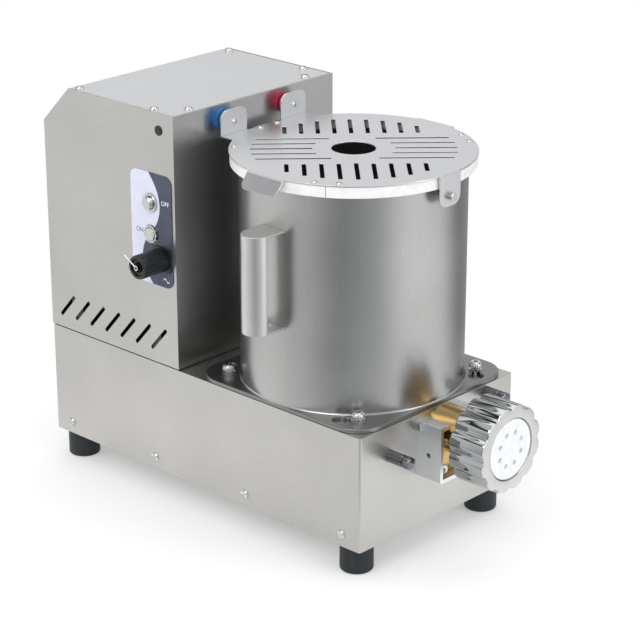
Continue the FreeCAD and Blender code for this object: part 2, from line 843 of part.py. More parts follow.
def lid_plate():
    disc = rod(lid_radius, ORIGIN, Z, lid_sheet)
    pieces = [disc]
    for turn, width, length, corner, angle in (
            (90, lid_side_tab_width, lid_side_tab_length, lid_side_tab_corner, lid_side_tab_angle),
            (-90, lid_side_tab_width, lid_side_tab_length, lid_side_tab_corner, lid_side_tab_angle),
            (0, lid_pin_tab_width, lid_pin_tab_length, lid_pin_tab_corner, 90)):
        pieces += [turned(piece, turn) for piece in lid_tab(width, length, corner, angle)]
    for shift in (-lid_magnet_tab_spread, lid_magnet_tab_spread):
        flat, post = lid_tab(lid_magnet_tab_width, lid_magnet_tab_height + lid_sheet, lid_magnet_tab_corner, -90)
        pieces += [moved(turned(piece, 180), Y * shift) for piece in (flat, post)]
    lid = join(pieces)
    tools = [rod(lid_hole_radius, Z * -OVER, Z, lid_sheet + 2 * OVER)]
    half = (lid_slot_count - 1) / 2
    for index in range(lid_slot_count):
        u = (index - half) * lid_slot_pitch
        outer = math.sqrt(lid_slot_outer_radius ** 2 - u ** 2)
        for facing in (-1, 1):
            ends = sorted((facing * lid_slot_inner, facing * outer))
            tools.append(box(u - lid_slot_width / 2, u + lid_slot_width / 2, ends[0], ends[1], -OVER,
                             lid_sheet + OVER))
    half = (lid_thin_count - 1) / 2
    for index in range(lid_thin_count):
        w = (index - half) * lid_slot_pitch
        outer = math.sqrt(lid_slot_outer_radius ** 2 - w ** 2)
        inner = math.sqrt(lid_thin_inner_radius ** 2 - w ** 2)
        for facing in (-1, 1):
            ends = sorted((facing * inner, facing * outer))
            tools.append(box(ends[0], ends[1], w - lid_slot_width / 2, w + lid_slot_width / 2, -OVER,
                             lid_sheet + OVER))
    pattern = [turned(tool, 45) for tool in tools]
    for shift in (-lid_magnet_tab_spread, lid_magnet_tab_spread):
        hole = rod(lid_screw_shank_radius + screw_clearance, v(-lid_fold_offset - OVER, shift, lid_sheet + magnet_rise),
                   X, lid_sheet + 2 * OVER)
        pattern.append(hole)
    pattern.append(rod(lid_pin_radius / 2 + EPS, v(lid_fold_offset - 2 * lid_sheet, 0,
                                                  lid_sheet - lid_pin_tab_length + lid_pin_rise), X, 4 * lid_sheet))
    return moved(cut_all(lid, pattern), v(bowl_x, 0, lid_bottom))


def lid_screw_places():
    angles = []
    for joint in range(lid_ring_joints):
        seam = lid_seam_angle + joint * FULL / lid_ring_joints
        angles += [seam - lid_screw_angle, seam + lid_screw_angle]
    angles.append(lid_extra_screw_angle)
    return [v(lid_screw_radius * math.cos(math.radians(a)), lid_screw_radius * math.sin(math.radians(a)), 0)
            for a in angles]


def lid_ring():
    groove_out = bowl_radius + groove_clearance
    groove_in = bowl_radius - bowl_wall - groove_clearance
    depth = rim_overlap + rim_gap
    profile = [(lid_ring_inner, depth / 2), (groove_in, 0), (groove_in, depth), (groove_out, depth),
               (groove_out, 0), (lid_ring_radius, 0), (lid_ring_radius, lid_ring_height),
               (lid_ring_inner, lid_ring_height)]
    ring = revolved(profile, ORIGIN, Z)
    tools = []
    for joint in range(lid_ring_joints):
        seam = box(0, 2 * lid_radius, -lid_ring_seam / 2, lid_ring_seam / 2, -OVER, lid_ring_height + OVER)
        tools.append(turned(seam, 60 + joint * FULL / lid_ring_joints))
    return moved(cut_all(ring, tools), v(bowl_x, 0, ring_bottom))


def lid_screws():
    base = v(bowl_x, 0, lid_top)
    return Part.makeCompound([pan_screw(base + place, Z, lid_screw_head_radius, lid_screw_head_height)
                              for place in lid_screw_places()])


def magnet_puck(y):
    face = v(bowl_x - lid_fold_offset, y, magnet_z)
    puck = ribbed_rod(magnet_radius, magnet_rib_depth, magnet_rib_count, face, X * -1, magnet_length)
    bore = rod(lid_screw_shank_radius + screw_clearance, face + X * OVER, X * -1, magnet_screw_reach + OVER)
    return puck.cut(bore)


def magnet_screws():
    screws = []
    for y in (-lid_magnet_tab_spread, lid_magnet_tab_spread):
        seat = v(bowl_x - lid_fold_offset + lid_sheet, y, magnet_z)
        screws.append(pan_screw(seat, X, lid_screw_head_radius, lid_screw_head_height, lid_screw_shank_radius,
                                lid_sheet + magnet_screw_reach))
    return Part.makeCompound(screws)


def lid_pin():
    z = lid_top - lid_pin_tab_length + lid_pin_rise
    tab = bowl_x + lid_fold_offset
    outer = rod(lid_pin_radius, v(tab, 0, z), X, lid_pin_proud)
    outer = outer.makeChamfer(lid_pin_radius / 6, [outer.Edges[0]])
    waist = rod(lid_pin_radius / 2, v(tab - lid_sheet, 0, z), X, lid_sheet)
    wall = bowl_x + bowl_radius + lid_pin_wall_gap
    inner = rod(lid_pin_radius, v(wall, 0, z), X, tab - lid_sheet - wall)
    return join([inner, waist, outer])


def bayonet_studs():
    studs = []
    seat = flange_thickness + bayonet_head_gap
    top = seat + bayonet_step_height
    head = bayonet_head_radius
    profile = [(0, top + bayonet_dome_height), (head * bayonet_crown, top + bayonet_dome_height), (head, top),
               (head, seat), (bayonet_neck_radius, seat), (bayonet_neck_radius, -sheet), (0, -sheet)]
    for place in bayonet_places():
        stud = revolved(profile, place, Z)
        tip = place + Z * (top + bayonet_dome_height - bayonet_socket_depth)
        studs.append(stud.cut(hexagon(bayonet_socket_radius, tip, Z, bayonet_socket_depth + OVER)))
    return Part.makeCompound(studs)


def hexagon(radius, start, direction, length):
    across = Y if abs(direction.dot(Y)) < 0.5 else X
    third = direction.cross(across)
    points = []
    for index in range(6):
        angle = math.radians(60 * index)
        points.append(start + across * (radius * math.cos(angle)) + third * (radius * math.sin(angle)))
    return prism(points, direction * length)


def head_bracket():
    half = bracket_width / 2
    top = base_top - bracket_top_drop
    low = top - bracket_height
    block = box(x_front, x_front + bracket_length, -half, half, low, top)
    block = block.makeFillet(bracket_corner, [e for e in edges_along(block, X) if e.CenterOfMass.z < low + OVER])
    inner = half - bracket_wall
    pocket = box(x_front - OVER, x_front + bracket_length + OVER, -inner, inner, low + bracket_wall,
                 top - bracket_wall)
    saddle = rod(neck_radius + head_body_gap, v(x_front - OVER, 0, auger_z), X, bracket_length + 2 * OVER)
    hole = rod(bracket_set_hole_radius, v(x_front + bracket_length / 2, -half - OVER, auger_z - auger_drop), Y,
               bracket_wall + OVER + EPS)
    return block.cut(pocket).cut(saddle).cut(hole)


def head_clip():
    # small steel spring catch at the upper rear corner of the bracket
    half = bracket_width / 2
    top = base_top - bracket_top_drop
    catch = box(x_front, x_front + clip_size, -half - clip_size / 2, -half, top - clip_size, top)
    return catch.cut(rod(clip_size / 5, v(x_front + clip_size / 2, -half - clip_size, top - clip_size / 2), Y,
                         2 * clip_size))


def extrusion_barrel():
    rear = barrel_back
    inside = rod(barrel_radius, v(rear, 0, auger_z), X, x_front - rear)
    lid_plane = base_top - sheet - barrel_top_gap
    inside = inside.cut(box(rear - OVER, x_front + OVER, -side, side, lid_plane, base_top + side))
    half = bracket_width / 2 - bracket_wall - head_body_gap
    top = base_top - bracket_top_drop - bracket_wall - head_body_gap
    low = base_top - bracket_top_drop - bracket_height + bracket_wall + head_body_gap
    body = box(x_front, x_front + head_body_length, -half, half, low, top)
    neck = rod(neck_radius, v(x_front, 0, auger_z), X, neck_length + ring_nut_back_gap)
    nose = rod(nose_radius, v(ring_back + ring_nut_back_gap, 0, auger_z), X, nose_length)
    whole = join([inside, body, neck, nose])
    tools = [rod(auger_bore, v(rear + barrel_end_wall, 0, auger_z), X, ring_front - rear)]
    tools.append(rod(lay_radius + running_gap, v(rear - OVER, 0, auger_z), X, barrel_end_wall + 2 * OVER))
    tools.append(feed_slot(auger_z, base_top + OVER))
    tools.append(rod(die_radius + head_body_gap, v(die_back - head_body_gap, 0, auger_z), X, ring_nut_length))
    tools.append(box(x_front - EPS, x_front + flange_sweep, -side, side, base_top - flange_relief, base_top + side))
    for place in head_screw_places():
        seat = place + X * head_body_length
        tools.append(rod(head_screw_radius + screw_clearance, seat, X, neck_length - head_body_length))
    return cut_all(whole, tools)


def barrel_screws():
    screws = []
    for place in head_screw_places():
        seat = place + X * head_body_length
        head = rod(head_screw_radius, seat, X, head_screw_height)
        key = hexagon(head_screw_key, seat + X * (head_screw_height / 2), X, head_screw_height)
        screws.append(head.cut(key))
    return Part.makeCompound(screws)


def front_plate():
    back = x_front - sheet - front_plate_thickness
    top = base_top - sheet - barrel_top_gap
    half = front_plate_width / 2
    plate = box(back, x_front - sheet, -half, half, top - front_plate_height, top)
    tools = [rod(barrel_radius + screw_clearance, v(back - OVER, 0, auger_z), X, front_plate_thickness + 2 * OVER)]
    return cut_all(plate, tools)


def accessory_studs():
    studs = []
    body = accessory_length - accessory_tip_length - accessory_groove_length
    tip = body + accessory_groove_length
    profile = [(0, accessory_length), (accessory_radius - 1.2, accessory_length),
               (accessory_radius, accessory_length - 1.2), (accessory_radius, tip), (accessory_groove_radius, tip),
               (accessory_groove_radius, body), (accessory_radius, body), (accessory_radius, 0),
               (0, 0)]
    for place in accessory_places():
        studs.append(revolved(profile, place, X))
    return Part.makeCompound(studs)


def die_insert():
    plate = rod(die_radius, v(die_back, 0, auger_z), X, die_thickness)
    boss = rod(die_boss_radius, v(die_front, 0, auger_z), X, die_boss_height)
    boss = boss.makeChamfer(die_boss_height / 6, [boss.Edges[0]])
    tools = []
    for index in range(die_hole_count):
        angle = math.radians((index + 0.5) * FULL / die_hole_count)
        centre = v(die_back - OVER, die_hole_ring * math.cos(angle), auger_z + die_hole_ring * math.sin(angle))
        tools.append(rod(die_hole_radius, centre, X, 2 * ring_nut_length))
    return cut_all(join([plate, boss]), tools)


def ring_nut():
    body = rod(ring_nut_radius, v(ring_back, 0, auger_z), X, ring_nut_length)
    body = body.makeChamfer(ring_nut_edge, [body.Edges[0], body.Edges[2]])
    tools = [rod(nose_radius + thread_gap, v(ring_back - OVER, 0, auger_z), X, die_front - ring_back + OVER)]
    tools.append(rod(ring_nut_window_radius, v(ring_back, 0, auger_z), X, ring_nut_length + OVER))
    centre_radius = ring_nut_radius + ring_nut_flute_radius - ring_nut_flute_depth
    for index in range(ring_nut_lobes):
        angle = math.radians(index * FULL / ring_nut_lobes)
        centre = v(ring_back - OVER, centre_radius * math.cos(angle), auger_z + centre_radius * math.sin(angle))
        tools.append(rod(ring_nut_flute_radius, centre, X, ring_nut_length + 2 * OVER))
    return cut_all(body, tools)


def ribbed_rod(radius, depth, count, start, direction, length):
    # a round bar with shallow V ribs along it
    across = X if abs(direction.dot(X)) < 0.5 else Z
    third = direction.cross(across)
    points = []
    for index in range(2 * count):
        angle = index * math.pi / count
        reach = radius - depth * (index % 2)
        points.append(start + across * (reach * math.cos(angle)) + third * (reach * math.sin(angle)))
    return prism(points, direction * length)


def gear_outline(teeth, radius, module, phase):
    # straight-sided teeth about +Z at the given pitch radius, first tooth centred at phase degrees
    tip = radius + tooth_addendum * module
    root = radius - tooth_dedendum * module
    half_pitch = (math.pi * module - gear_backlash) / 4
    slope = math.tan(math.radians(20))
    half_tip = half_pitch - tooth_addendum * module * slope
    half_root = half_pitch + tooth_dedendum * module * slope
    points = []
    for index in range(teeth):
        middle = math.radians(phase) + index * 2 * math.pi / teeth
        for reach, half in ((root, -half_root), (tip, -half_tip), (tip, half_tip), (root, half_root)):
            angle = middle + half / reach
            points.append((reach * math.cos(angle), reach * math.sin(angle)))
    return points


def spur_gear(teeth, x0, width, z, bore, up):
    # gear on an axis along X, a tooth (up) or a gap (down) on the line between the two shafts
    radius = teeth * gear_module / 2
    phase = 90 if up else 270 + 180 / teeth
    points = [v(x0, y, z + w) for y, w in gear_outline(teeth, radius, gear_module, phase)]
    return prism(points, X * width).cut(rod(bore, v(x0 - OVER, 0, z), X, width + 2 * OVER))


def bevel_gear(phase):
    # 45 degree bevel about +Z with its apex at the origin, wide end up
    module = 2 * bevel_radius / bevel_teeth
    rings = []
    for share in (1.0, 1.0 - bevel_width / bevel_radius):
        level = bevel_radius * share
        rings.append([v(x * share, y * share, level)
                      for x, y in gear_outline(bevel_teeth, bevel_radius, module, phase)])
    wide, narrow = rings
    count = len(wide)
    faces = [Part.Face(Part.makePolygon(ring + [ring[0]])) for ring in rings]
    for index in range(count):
        after = (index + 1) % count
        corners = [wide[index], wide[after], narrow[after], narrow[index], wide[index]]
        faces.append(Part.Face(Part.makePolygon(corners)))
    solid = Part.Solid(Part.Shell(faces))
    if solid.Volume < 0:
        solid.reverse()
    return solid


def layshaft():
    start = bowl_x - lay_rear
    return rod(lay_radius, v(start, 0, lay_z), X, lay_front - start)


def layshaft_bevel():
    gear = bevel_gear(0)
    gear = gear.cut(rod(lay_radius, Z * -OVER, Z, bevel_radius + 2 * OVER))
    gear.Placement = FreeCAD.Placement(v(bowl_x, 0, lay_z), FreeCAD.Rotation(Z, X * -1))
    return gear


def layshaft_gear():
    return spur_gear(lay_gear_teeth, bowl_x + spur_rear_offset, spur_width, lay_z, lay_radius, True)


def auger_gear():
    return spur_gear(auger_gear_teeth, bowl_x + spur_rear_offset, spur_width, auger_z, lay_radius, False)


def pulley(radius, z, bore):
    groove = radius
    rim = radius + belt_gap + belt_thickness + pulley_flange_rise
    disc = rod(groove, v(pulley_back, 0, z), X, pulley_width)
    flanges = [rod(rim, v(x, 0, z), X, pulley_flange) for x in (pulley_back, pulley_front - pulley_flange)]
    return join([disc] + flanges).cut(rod(bore, v(pulley_back - OVER, 0, z), X, pulley_width + 2 * OVER))


def mixer_shaft():
    low = lay_z + lay_radius + OVER
    return rod(mixer_shaft_radius, v(bowl_x, 0, low), Z, bowl_floor + paddle_floor_gap + paddle_hub_height - low)


def mixer_bevel():
    gear = bevel_gear(180 / bevel_teeth)
    gear = gear.cut(rod(mixer_shaft_radius, Z * -OVER, Z, bevel_radius + 2 * OVER))
    return moved(gear, v(bowl_x, 0, lay_z))


def mixer_bush():
    low = base_top - sheet - support_thickness - bearing_width
    bush = tube(mixer_bush_radius, mixer_shaft_radius + running_gap, v(bowl_x, 0, low), Z, base_top - low)
    rim = tube(mixer_bush_radius + support_thickness, mixer_bush_radius - OVER, v(bowl_x, 0, low), Z,
               base_top - sheet - low)
    return join([bush, rim])


def mixer_paddle():
    low = bowl_floor + paddle_floor_gap
    hub = rod(paddle_hub_radius, v(0, 0, low), Z, paddle_hub_height)
    cap = Part.makeCone(paddle_hub_radius, paddle_hub_radius / 2, paddle_cap_height, v(0, 0, low + paddle_hub_height))
    half = paddle_blade_thickness / 2
    pieces = [hub, cap]
    for turn, height in ((0, paddle_post_height), (180, paddle_post_height / 2)):
        blade = prism([v(0, -half, low), v(0, half * 3, low), v(0, half, low + paddle_blade_height),
                       v(0, -half, low + paddle_blade_height)], X * (paddle_reach - half))
        post = box(paddle_reach - paddle_post_width, paddle_reach, -half, half, low, low + height)
        post = post.makeFillet(half - EPS, edges_along(post, Z))
        pieces += [turned(blade, turn), turned(post, turn)]
    paddle = join(pieces)
    bore = rod(mixer_shaft_radius, v(0, 0, low - OVER), Z, paddle_hub_height + OVER)
    return turned(moved(paddle.cut(bore), v(bowl_x, 0, 0)), 30, Z, v(bowl_x, 0, 0))


def auger_screw():
    start = bowl_x + spur_rear_offset
    shaft = rod(lay_radius, v(start, 0, auger_z), X, barrel_back + barrel_end_wall + OVER - start)
    flight_start = barrel_back + barrel_end_wall + auger_gap
    flight_end = die_back - auger_gap - head_body_gap
    length = flight_end - flight_start
    core_radius = auger_bore / 2
    tip = auger_bore - auger_gap
    core = rod(core_radius, v(flight_start, 0, auger_z), X, length)
    turns = auger_turns
    pitch = length / (turns + auger_run_out)
    helix = Part.makeHelix(pitch, pitch * turns, core_radius)
    root_half = pitch * auger_root_share / 2
    tip_half = root_half / 2
    profile = Part.makePolygon([v(core_radius - OVER, 0, -root_half), v(tip, 0, -tip_half), v(tip, 0, tip_half),
                                v(core_radius - OVER, 0, root_half), v(core_radius - OVER, 0, -root_half)])
    flight = Part.Wire(helix).makePipeShell([profile], True, True)
    run_out = pitch * auger_run_out / 2
    flight.Placement = FreeCAD.Placement(v(flight_start + run_out, 0, auger_z), FreeCAD.Rotation(Z, X))
    return join([shaft, core]).fuse(flight)


def motor_housing():
    back = motor_front - gearbox_length - motor_length
    body = tube(motor_radius, motor_bore, v(back, 0, motor_z), X, motor_length)
    shields = []
    for x in (back, back + motor_length - motor_shield):
        shields.append(tube(motor_radius - OVER, motor_shaft_radius + rotor_gap, v(x, 0, motor_z), X, motor_shield))
    return join([body] + shields)


def gearbox_housing():
    back = motor_front - gearbox_length
    case = rod(gearbox_radius, v(back, 0, motor_z), X, gearbox_length)
    case = case.makeChamfer(bend_radius, [case.Edges[0]])
    socket = rod(motor_shaft_radius + rotor_gap, v(back - OVER, 0, motor_z), X, gearbox_length / 3 + OVER)
    bore = rod(lay_radius + running_gap, v(back + gearbox_length / 2, 0, motor_z), X, gearbox_length)
    return case.cut(socket).cut(bore)


def motor_rotor():
    back = motor_front - gearbox_length - motor_length
    front = motor_front - gearbox_length
    shaft_back = back - fan_gap - fan_width
    shaft = rod(motor_shaft_radius, v(shaft_back, 0, motor_z), X, front + gearbox_length / 3 - 1 - shaft_back)
    core = rod(motor_bore - rotor_gap, v(back + motor_shield + OVER, 0, motor_z), X,
               motor_length - 2 * motor_shield - 2 * OVER)
    return join([shaft, core])


def motor_fan():
    back = motor_front - gearbox_length - motor_length - fan_gap - fan_width
    disc = rod(fan_radius, v(back + fan_width - 2, 0, motor_z), X, 2)
    hub = rod(motor_shaft_radius * 2, v(back, 0, motor_z), X, fan_width)
    blade = box(back, back + fan_width, -1, 1, motor_z + motor_shaft_radius * 2 - OVER, motor_z + fan_radius)
    blades = [turned(blade, i * FULL / fan_blades, X, v(back, 0, motor_z)) for i in range(fan_blades)]
    return join([disc, hub] + blades).cut(rod(motor_shaft_radius, v(back - OVER, 0, motor_z), X, fan_width + 2 * OVER))


def output_shaft():
    back = motor_front - gearbox_length / 2 + 1
    return rod(lay_radius, v(back, 0, motor_z), X, pulley_front - back)


def motor_bracket():
    # cradle plate under the gearbox and motor, standing on the lips of the base's top
    top = motor_z - motor_radius
    back = motor_front - gearbox_length - motor_length
    half = side - sheet - tray_gap
    shelf = box(back, motor_front, -half, half, top - motor_plate_thickness, top)
    legs = []
    for y in (-half, half - motor_plate_thickness):
        legs.append(box(back, motor_front, y, y + motor_plate_thickness, base_top, top))
    collar = box(motor_front - gearbox_length / 2, motor_front - gearbox_length / 4, -gearbox_radius, gearbox_radius,
                 top - motor_plate_thickness, motor_z)
    collar = collar.cut(rod(gearbox_radius, v(back, 0, motor_z), X, motor_length * 2))
    window = box(back + motor_plate_thickness * 4, motor_front - motor_plate_thickness * 4, -side, side,
                 base_top + motor_plate_thickness * 3, top - motor_plate_thickness * 3)
    slot = box(tower_front - motor_front_gap, tower_front, -half, half, top - motor_plate_thickness - OVER, top)
    return join([shelf] + legs + [collar]).cut(window).cut(slot)


def drive_belt():
    middle = (pulley_back + pulley_front) / 2
    width = pulley_width - 2 * pulley_flange - 2 * belt_side_gap

    def loop(upper, lower, x):
        rise = motor_z - lay_z
        lean = math.asin((lower - upper) / rise)
        cosine = math.cos(lean)
        sine = math.sin(lean)
        top = [v(x, s * upper * cosine, motor_z + upper * sine) for s in (-1, 1)]
        low = [v(x, s * lower * cosine, lay_z + lower * sine) for s in (-1, 1)]
        crown = Part.Arc(top[0], v(x, 0, motor_z + upper), top[1]).toShape()
        heel = Part.Arc(low[1], v(x, 0, lay_z - lower), low[0]).toShape()
        right = Part.LineSegment(top[1], low[1]).toShape()
        left = Part.LineSegment(low[0], top[0]).toShape()
        return Part.Face(Part.Wire([crown, right, heel, left]))

    start = middle - width / 2
    outer = loop(output_pulley_radius + belt_gap + belt_thickness, lay_pulley_radius + belt_gap + belt_thickness, start)
    inner = loop(output_pulley_radius + belt_gap, lay_pulley_radius + belt_gap, start - OVER)
    return outer.extrude(X * width).cut(inner.extrude(X * (width + 2 * OVER)))


def support_places():
    return [pulley_back - 3 * support_thickness, bowl_x - lay_drop - support_thickness, barrel_back]


def bearing_supports():
    floor = base_bottom + sheet
    plates = []
    for index, x in enumerate(support_places()):
        last = index == len(support_places()) - 1
        top = auger_z - barrel_radius if last else lay_z + bearing_outer + support_thickness
        if last:
            top = auger_z
        plate = box(x, x + support_thickness, -support_width / 2, support_width / 2, floor, top)
        foot = box(x - support_thickness * 2, x + support_thickness, -support_width / 2, support_width / 2, floor,
                   floor + sheet * 2)
        if last:
            foot = box(x, x + support_thickness * 3, -support_width / 2, support_width / 2, floor, floor + sheet * 2)
            plate = plate.cut(rod(barrel_radius + tray_gap, v(x - OVER, 0, auger_z), X, support_thickness * 2))
        whole = join([plate, foot])
        plates.append(whole.cut(rod(bearing_outer, v(x - OVER, 0, lay_z), X, support_thickness + 2 * OVER)))
    return Part.makeCompound(plates)


def shaft_bearings():
    rings = []
    for x in support_places():
        start = x + support_thickness / 2 - bearing_width / 2
        rings.append(tube(bearing_outer, lay_radius + running_gap, v(start, 0, lay_z), X, bearing_width))
    return Part.makeCompound(rings)


def control_board():
    x = x_rear + sheet + 2
    low = tower_top - tower_chamfer - board_size_z - board_edge
    board = box(x, x + board_thickness, -board_size_y / 2, board_size_y / 2, low, low + board_size_z)
    parts = [board]
    for y, z, size in board_components:
        parts.append(box(x + board_thickness, x + board_thickness + size, y - size / 2, y + size / 2,
                         low + z - size / 2, low + z + size / 2))
    posts = []
    for y in (-board_size_y / 2 + 5, board_size_y / 2 - 5):
        for z in (low + 5, low + board_size_z - 5):
            posts.append(rod(2.5, v(x_rear + sheet, y, z), X, 2))
    return join(parts + posts)


def reed_switches():
    switches = []
    for y in (-lid_magnet_tab_spread, lid_magnet_tab_spread):
        x = tower_front - sheet
        switches.append(box(x - reed_size, x, y - reed_length / 2, y + reed_length / 2, magnet_z - reed_size / 2,
                            magnet_z + reed_size / 2))
    return Part.makeCompound(switches)


def cable_gland():
    start = v(x_rear, 0, base_bottom + gland_rise)
    nut = hexagon(gland_radius, start - X * gland_nut_length, X, gland_nut_length)
    dome = Part.makeCone(gland_radius * 0.82, gland_radius * 0.55, gland_dome_length, start - X * gland_nut_length, X * -1)
    stem = rod(gland_bore + gland_radius / 4, start, X, sheet + 2)
    lock = hexagon(gland_radius * 0.9, start + X * sheet, X, 4)
    return join([nut, dome, stem, lock]).cut(rod(gland_bore, start - X * 30, X, 60))


nodes = {
    "base_casing": base_casing(),
    "bottom_plate": bottom_plate(),
    "rubber_feet": rubber_feet(),
    "foot_bolts": foot_bolts(),
    "base_screws": base_screws(),
    "tower_casing": tower_casing(),
    "tower_top_cover": tower_top_cover(),
    "top_cover_screws": top_cover_screws(),
    "overlay_light": overlay_light(),
    "overlay_dark": overlay_dark(),
    "off_button_collar": button_collar(off_z, False),
    "on_button_collar": button_collar(on_z, True),
    "off_button_cap": button_cap(off_z, off_cap_proud),
    "on_button_cap": button_cap(on_z, on_cap_proud),
    "switch_blocks": switch_blocks(),
    "hole_plug": hole_plug(),
    "auxiliary_socket": auxiliary_socket(),
    "socket_cap": socket_cap(),
    "socket_cap_eyelet": socket_cap_eyelet(),
    "bowl_shell": bowl_shell(),
    "bowl_flange": bowl_flange(),
    "bowl_handle": bowl_handle(),
    "lid_plate": lid_plate(),
    "lid_ring": lid_ring(),
    "lid_screws": lid_screws(),
    "blue_magnet": magnet_puck(-lid_magnet_tab_spread),
    "red_magnet": magnet_puck(lid_magnet_tab_spread),
    "magnet_screws": magnet_screws(),
    "lid_pin": lid_pin(),
    "bayonet_studs": bayonet_studs(),
    "control_board": control_board(),
    "head_bracket": head_bracket(),
    "head_clip": head_clip(),
    "extrusion_barrel": extrusion_barrel(),
    "barrel_screws": barrel_screws(),
    "front_plate": front_plate(),
    "accessory_studs": accessory_studs(),
    "die_insert": die_insert(),
    "ring_nut": ring_nut(),
    "layshaft": layshaft(),
    "layshaft_bevel": layshaft_bevel(),
    "layshaft_gear": layshaft_gear(),
    "layshaft_pulley": pulley(lay_pulley_radius, lay_z, lay_radius),
    "mixer_shaft": mixer_shaft(),
    "mixer_bevel": mixer_bevel(),
    "mixer_bush": mixer_bush(),
    "mixer_paddle": mixer_paddle(),
    "auger_screw": auger_screw(),
    "auger_gear": auger_gear(),
    "motor_housing": motor_housing(),
    "gearbox_housing": gearbox_housing(),
    "motor_rotor": motor_rotor(),
    "motor_fan": motor_fan(),
    "output_pulley": join([output_shaft(), pulley(output_pulley_radius, motor_z, lay_radius - EPS)]),
    "motor_bracket": motor_bracket(),
    "drive_belt": drive_belt(),
    "bearing_supports": bearing_supports(),
    "shaft_bearings": shaft_bearings(),
    "reed_switches": reed_switches(),
    "cable_gland": cable_gland(),
}

# The whole machine is moved so that the origin is at its bottom centre
whole = Part.makeCompound(list(nodes.values())).BoundBox
place = v(-(whole.XMin + whole.XMax) / 2, -(whole.YMin + whole.YMax) / 2, 0)
os.makedirs("parts", exist_ok=True)
for name, shape in nodes.items():
    moved(shape, place).exportStep("parts/" + name + ".step")
print("nodes", len(nodes), "moved by", place)
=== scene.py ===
"""Electric pasta maker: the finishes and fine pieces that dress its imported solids."""
import math

import bmesh
import bpy
from mathutils import Matrix, Vector


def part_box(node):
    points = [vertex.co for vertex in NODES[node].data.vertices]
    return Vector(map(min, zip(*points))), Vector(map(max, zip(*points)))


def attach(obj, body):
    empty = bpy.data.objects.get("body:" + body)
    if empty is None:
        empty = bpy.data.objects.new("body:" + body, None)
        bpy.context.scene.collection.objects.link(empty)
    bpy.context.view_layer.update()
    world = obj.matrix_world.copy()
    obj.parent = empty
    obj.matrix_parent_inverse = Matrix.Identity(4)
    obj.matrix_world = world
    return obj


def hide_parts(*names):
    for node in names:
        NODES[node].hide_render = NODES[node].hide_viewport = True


bl_info = {
    "name": "Electric pasta maker",
    "version": (1, 0, 0),
    "blender": (4, 5, 0),
    "location": "View3D > Sidebar > Pasta maker",
    "description": "Builds the sheet-metal, turned and moulded finishes of a counter-top pasta maker",
    "category": "Object",
}

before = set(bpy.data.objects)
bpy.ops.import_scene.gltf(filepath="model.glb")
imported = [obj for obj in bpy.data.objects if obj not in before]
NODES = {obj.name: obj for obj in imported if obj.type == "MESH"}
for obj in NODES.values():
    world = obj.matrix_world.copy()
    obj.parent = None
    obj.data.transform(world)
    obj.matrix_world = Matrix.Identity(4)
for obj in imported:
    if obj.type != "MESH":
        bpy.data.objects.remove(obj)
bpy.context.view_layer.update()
MM = 0.001
# points nearer to each other than this are one
MERGE = 0.02 * MM
# the extrusion head's axis runs along X at this depth and height
CENTRE_Y = 0.0093957
AUGER_Z = 0.1255
# the tapped hole in the bracket's side lies this far below the axis, its screw this far behind the face
GRUB_DROP = 18.5 * MM
GRUB_DEPTH = 3.2 * MM
# x and z of the printing on the panel
OFF_WORD = (-0.0737, 0.3122)
ON_WORD = (-0.1104, 0.2790)
CURRENT_SIGN = (-0.0742, 0.2345)
# how far a face's normal leans one way: flat on, facing, and the most that an upright face leans up
FLAT_ON = 0.95
FACING = 0.9
UPRIGHT = 0.1
# the skins that the casing's outer faces, and the tower's front, lie in
SKIN = 0.5 * MM
FRONT_SKIN = 0.4 * MM
# a wall's inner side, which takes the painted shade, looks at least this far in to the casing's middle
INWARD_REACH = 10 * MM
# angles in degrees: a sharper edge than these is shaded as an edge
TURNED_EDGE = 35.0
FOLDED_EDGE = 32.0
ROUNDED_EDGE = 50.0
# faces that lean less than this apart, in degrees, are joined into one
LEVEL = 0.4
# grain noise: the part of its range that the colours spread over, and the slower cloud over it
GRAIN_LOW = 0.3
GRAIN_HIGH = 0.7
CLOUD_SCALE = 9.0
CLOUD_SHARE = 0.25
TOOL_MARK = 0.02 * MM
# moulded surfaces: size of the mottle, height of the texture and swing of the gloss
MOTTLE = 8 * MM
MOULD_MARK = 0.03 * MM
MOULD_LOW = 0.35
MOULD_HIGH = 0.65
GLOSS_SWING = 0.06
GLOSS_LEAST = 0.02
PLASTIC_IOR = 1.5
# the camera, as fitted to the photograph
RIG_LENS = 127.7
RIG_SENSOR = 36.0
RIG_TARGET = (0.0417, -0.0082, 0.1986)
RIG_PLACE = (1.4458, -1.4997, 0.9921)
# the lamps: name, place, width and height, power and tint
LAMP_AIM = (0.0, 0.0, 0.2)
LAMPS = (
    ("key_softbox", (0.4, -1.7, 1.7), (1.4, 1.0), 13.0, (1.0, 0.985, 0.96)),
    ("top_softbox", (-0.1, 0.3, 1.9), (1.8, 1.4), 7.0, (1.0, 1.0, 1.0)),
    ("right_strip", (1.8, 0.5, 0.9), (0.5, 1.4), 6.0, (0.97, 0.985, 1.0)),
)
# the studio's bright walls and dark gaps, by share of a turn about the object
BANDS = ((0.0, "e8e8e8"), (0.14, "f2f2f2"), (0.24, "cecece"), (0.345, "929496"), (0.42, "b2b4b6"),
         (0.52, "ffffff"), (0.60, "fafafa"), (0.70, "8e8f91"), (0.80, "a6a8aa"), (1.0, "e8e8e8"))
# the dark flag high in the studio, by height
FLAG = ((0.0, "ffffff"), (0.5, "ffffff"), (0.56, "3c3d3e"), (0.7, "4a4b4c"), (0.77, "ffffff"),
        (1.0, "ffffff"))
CEILING = "fbfbfc"
CEILING_FROM = 0.02
CEILING_TO = 0.34
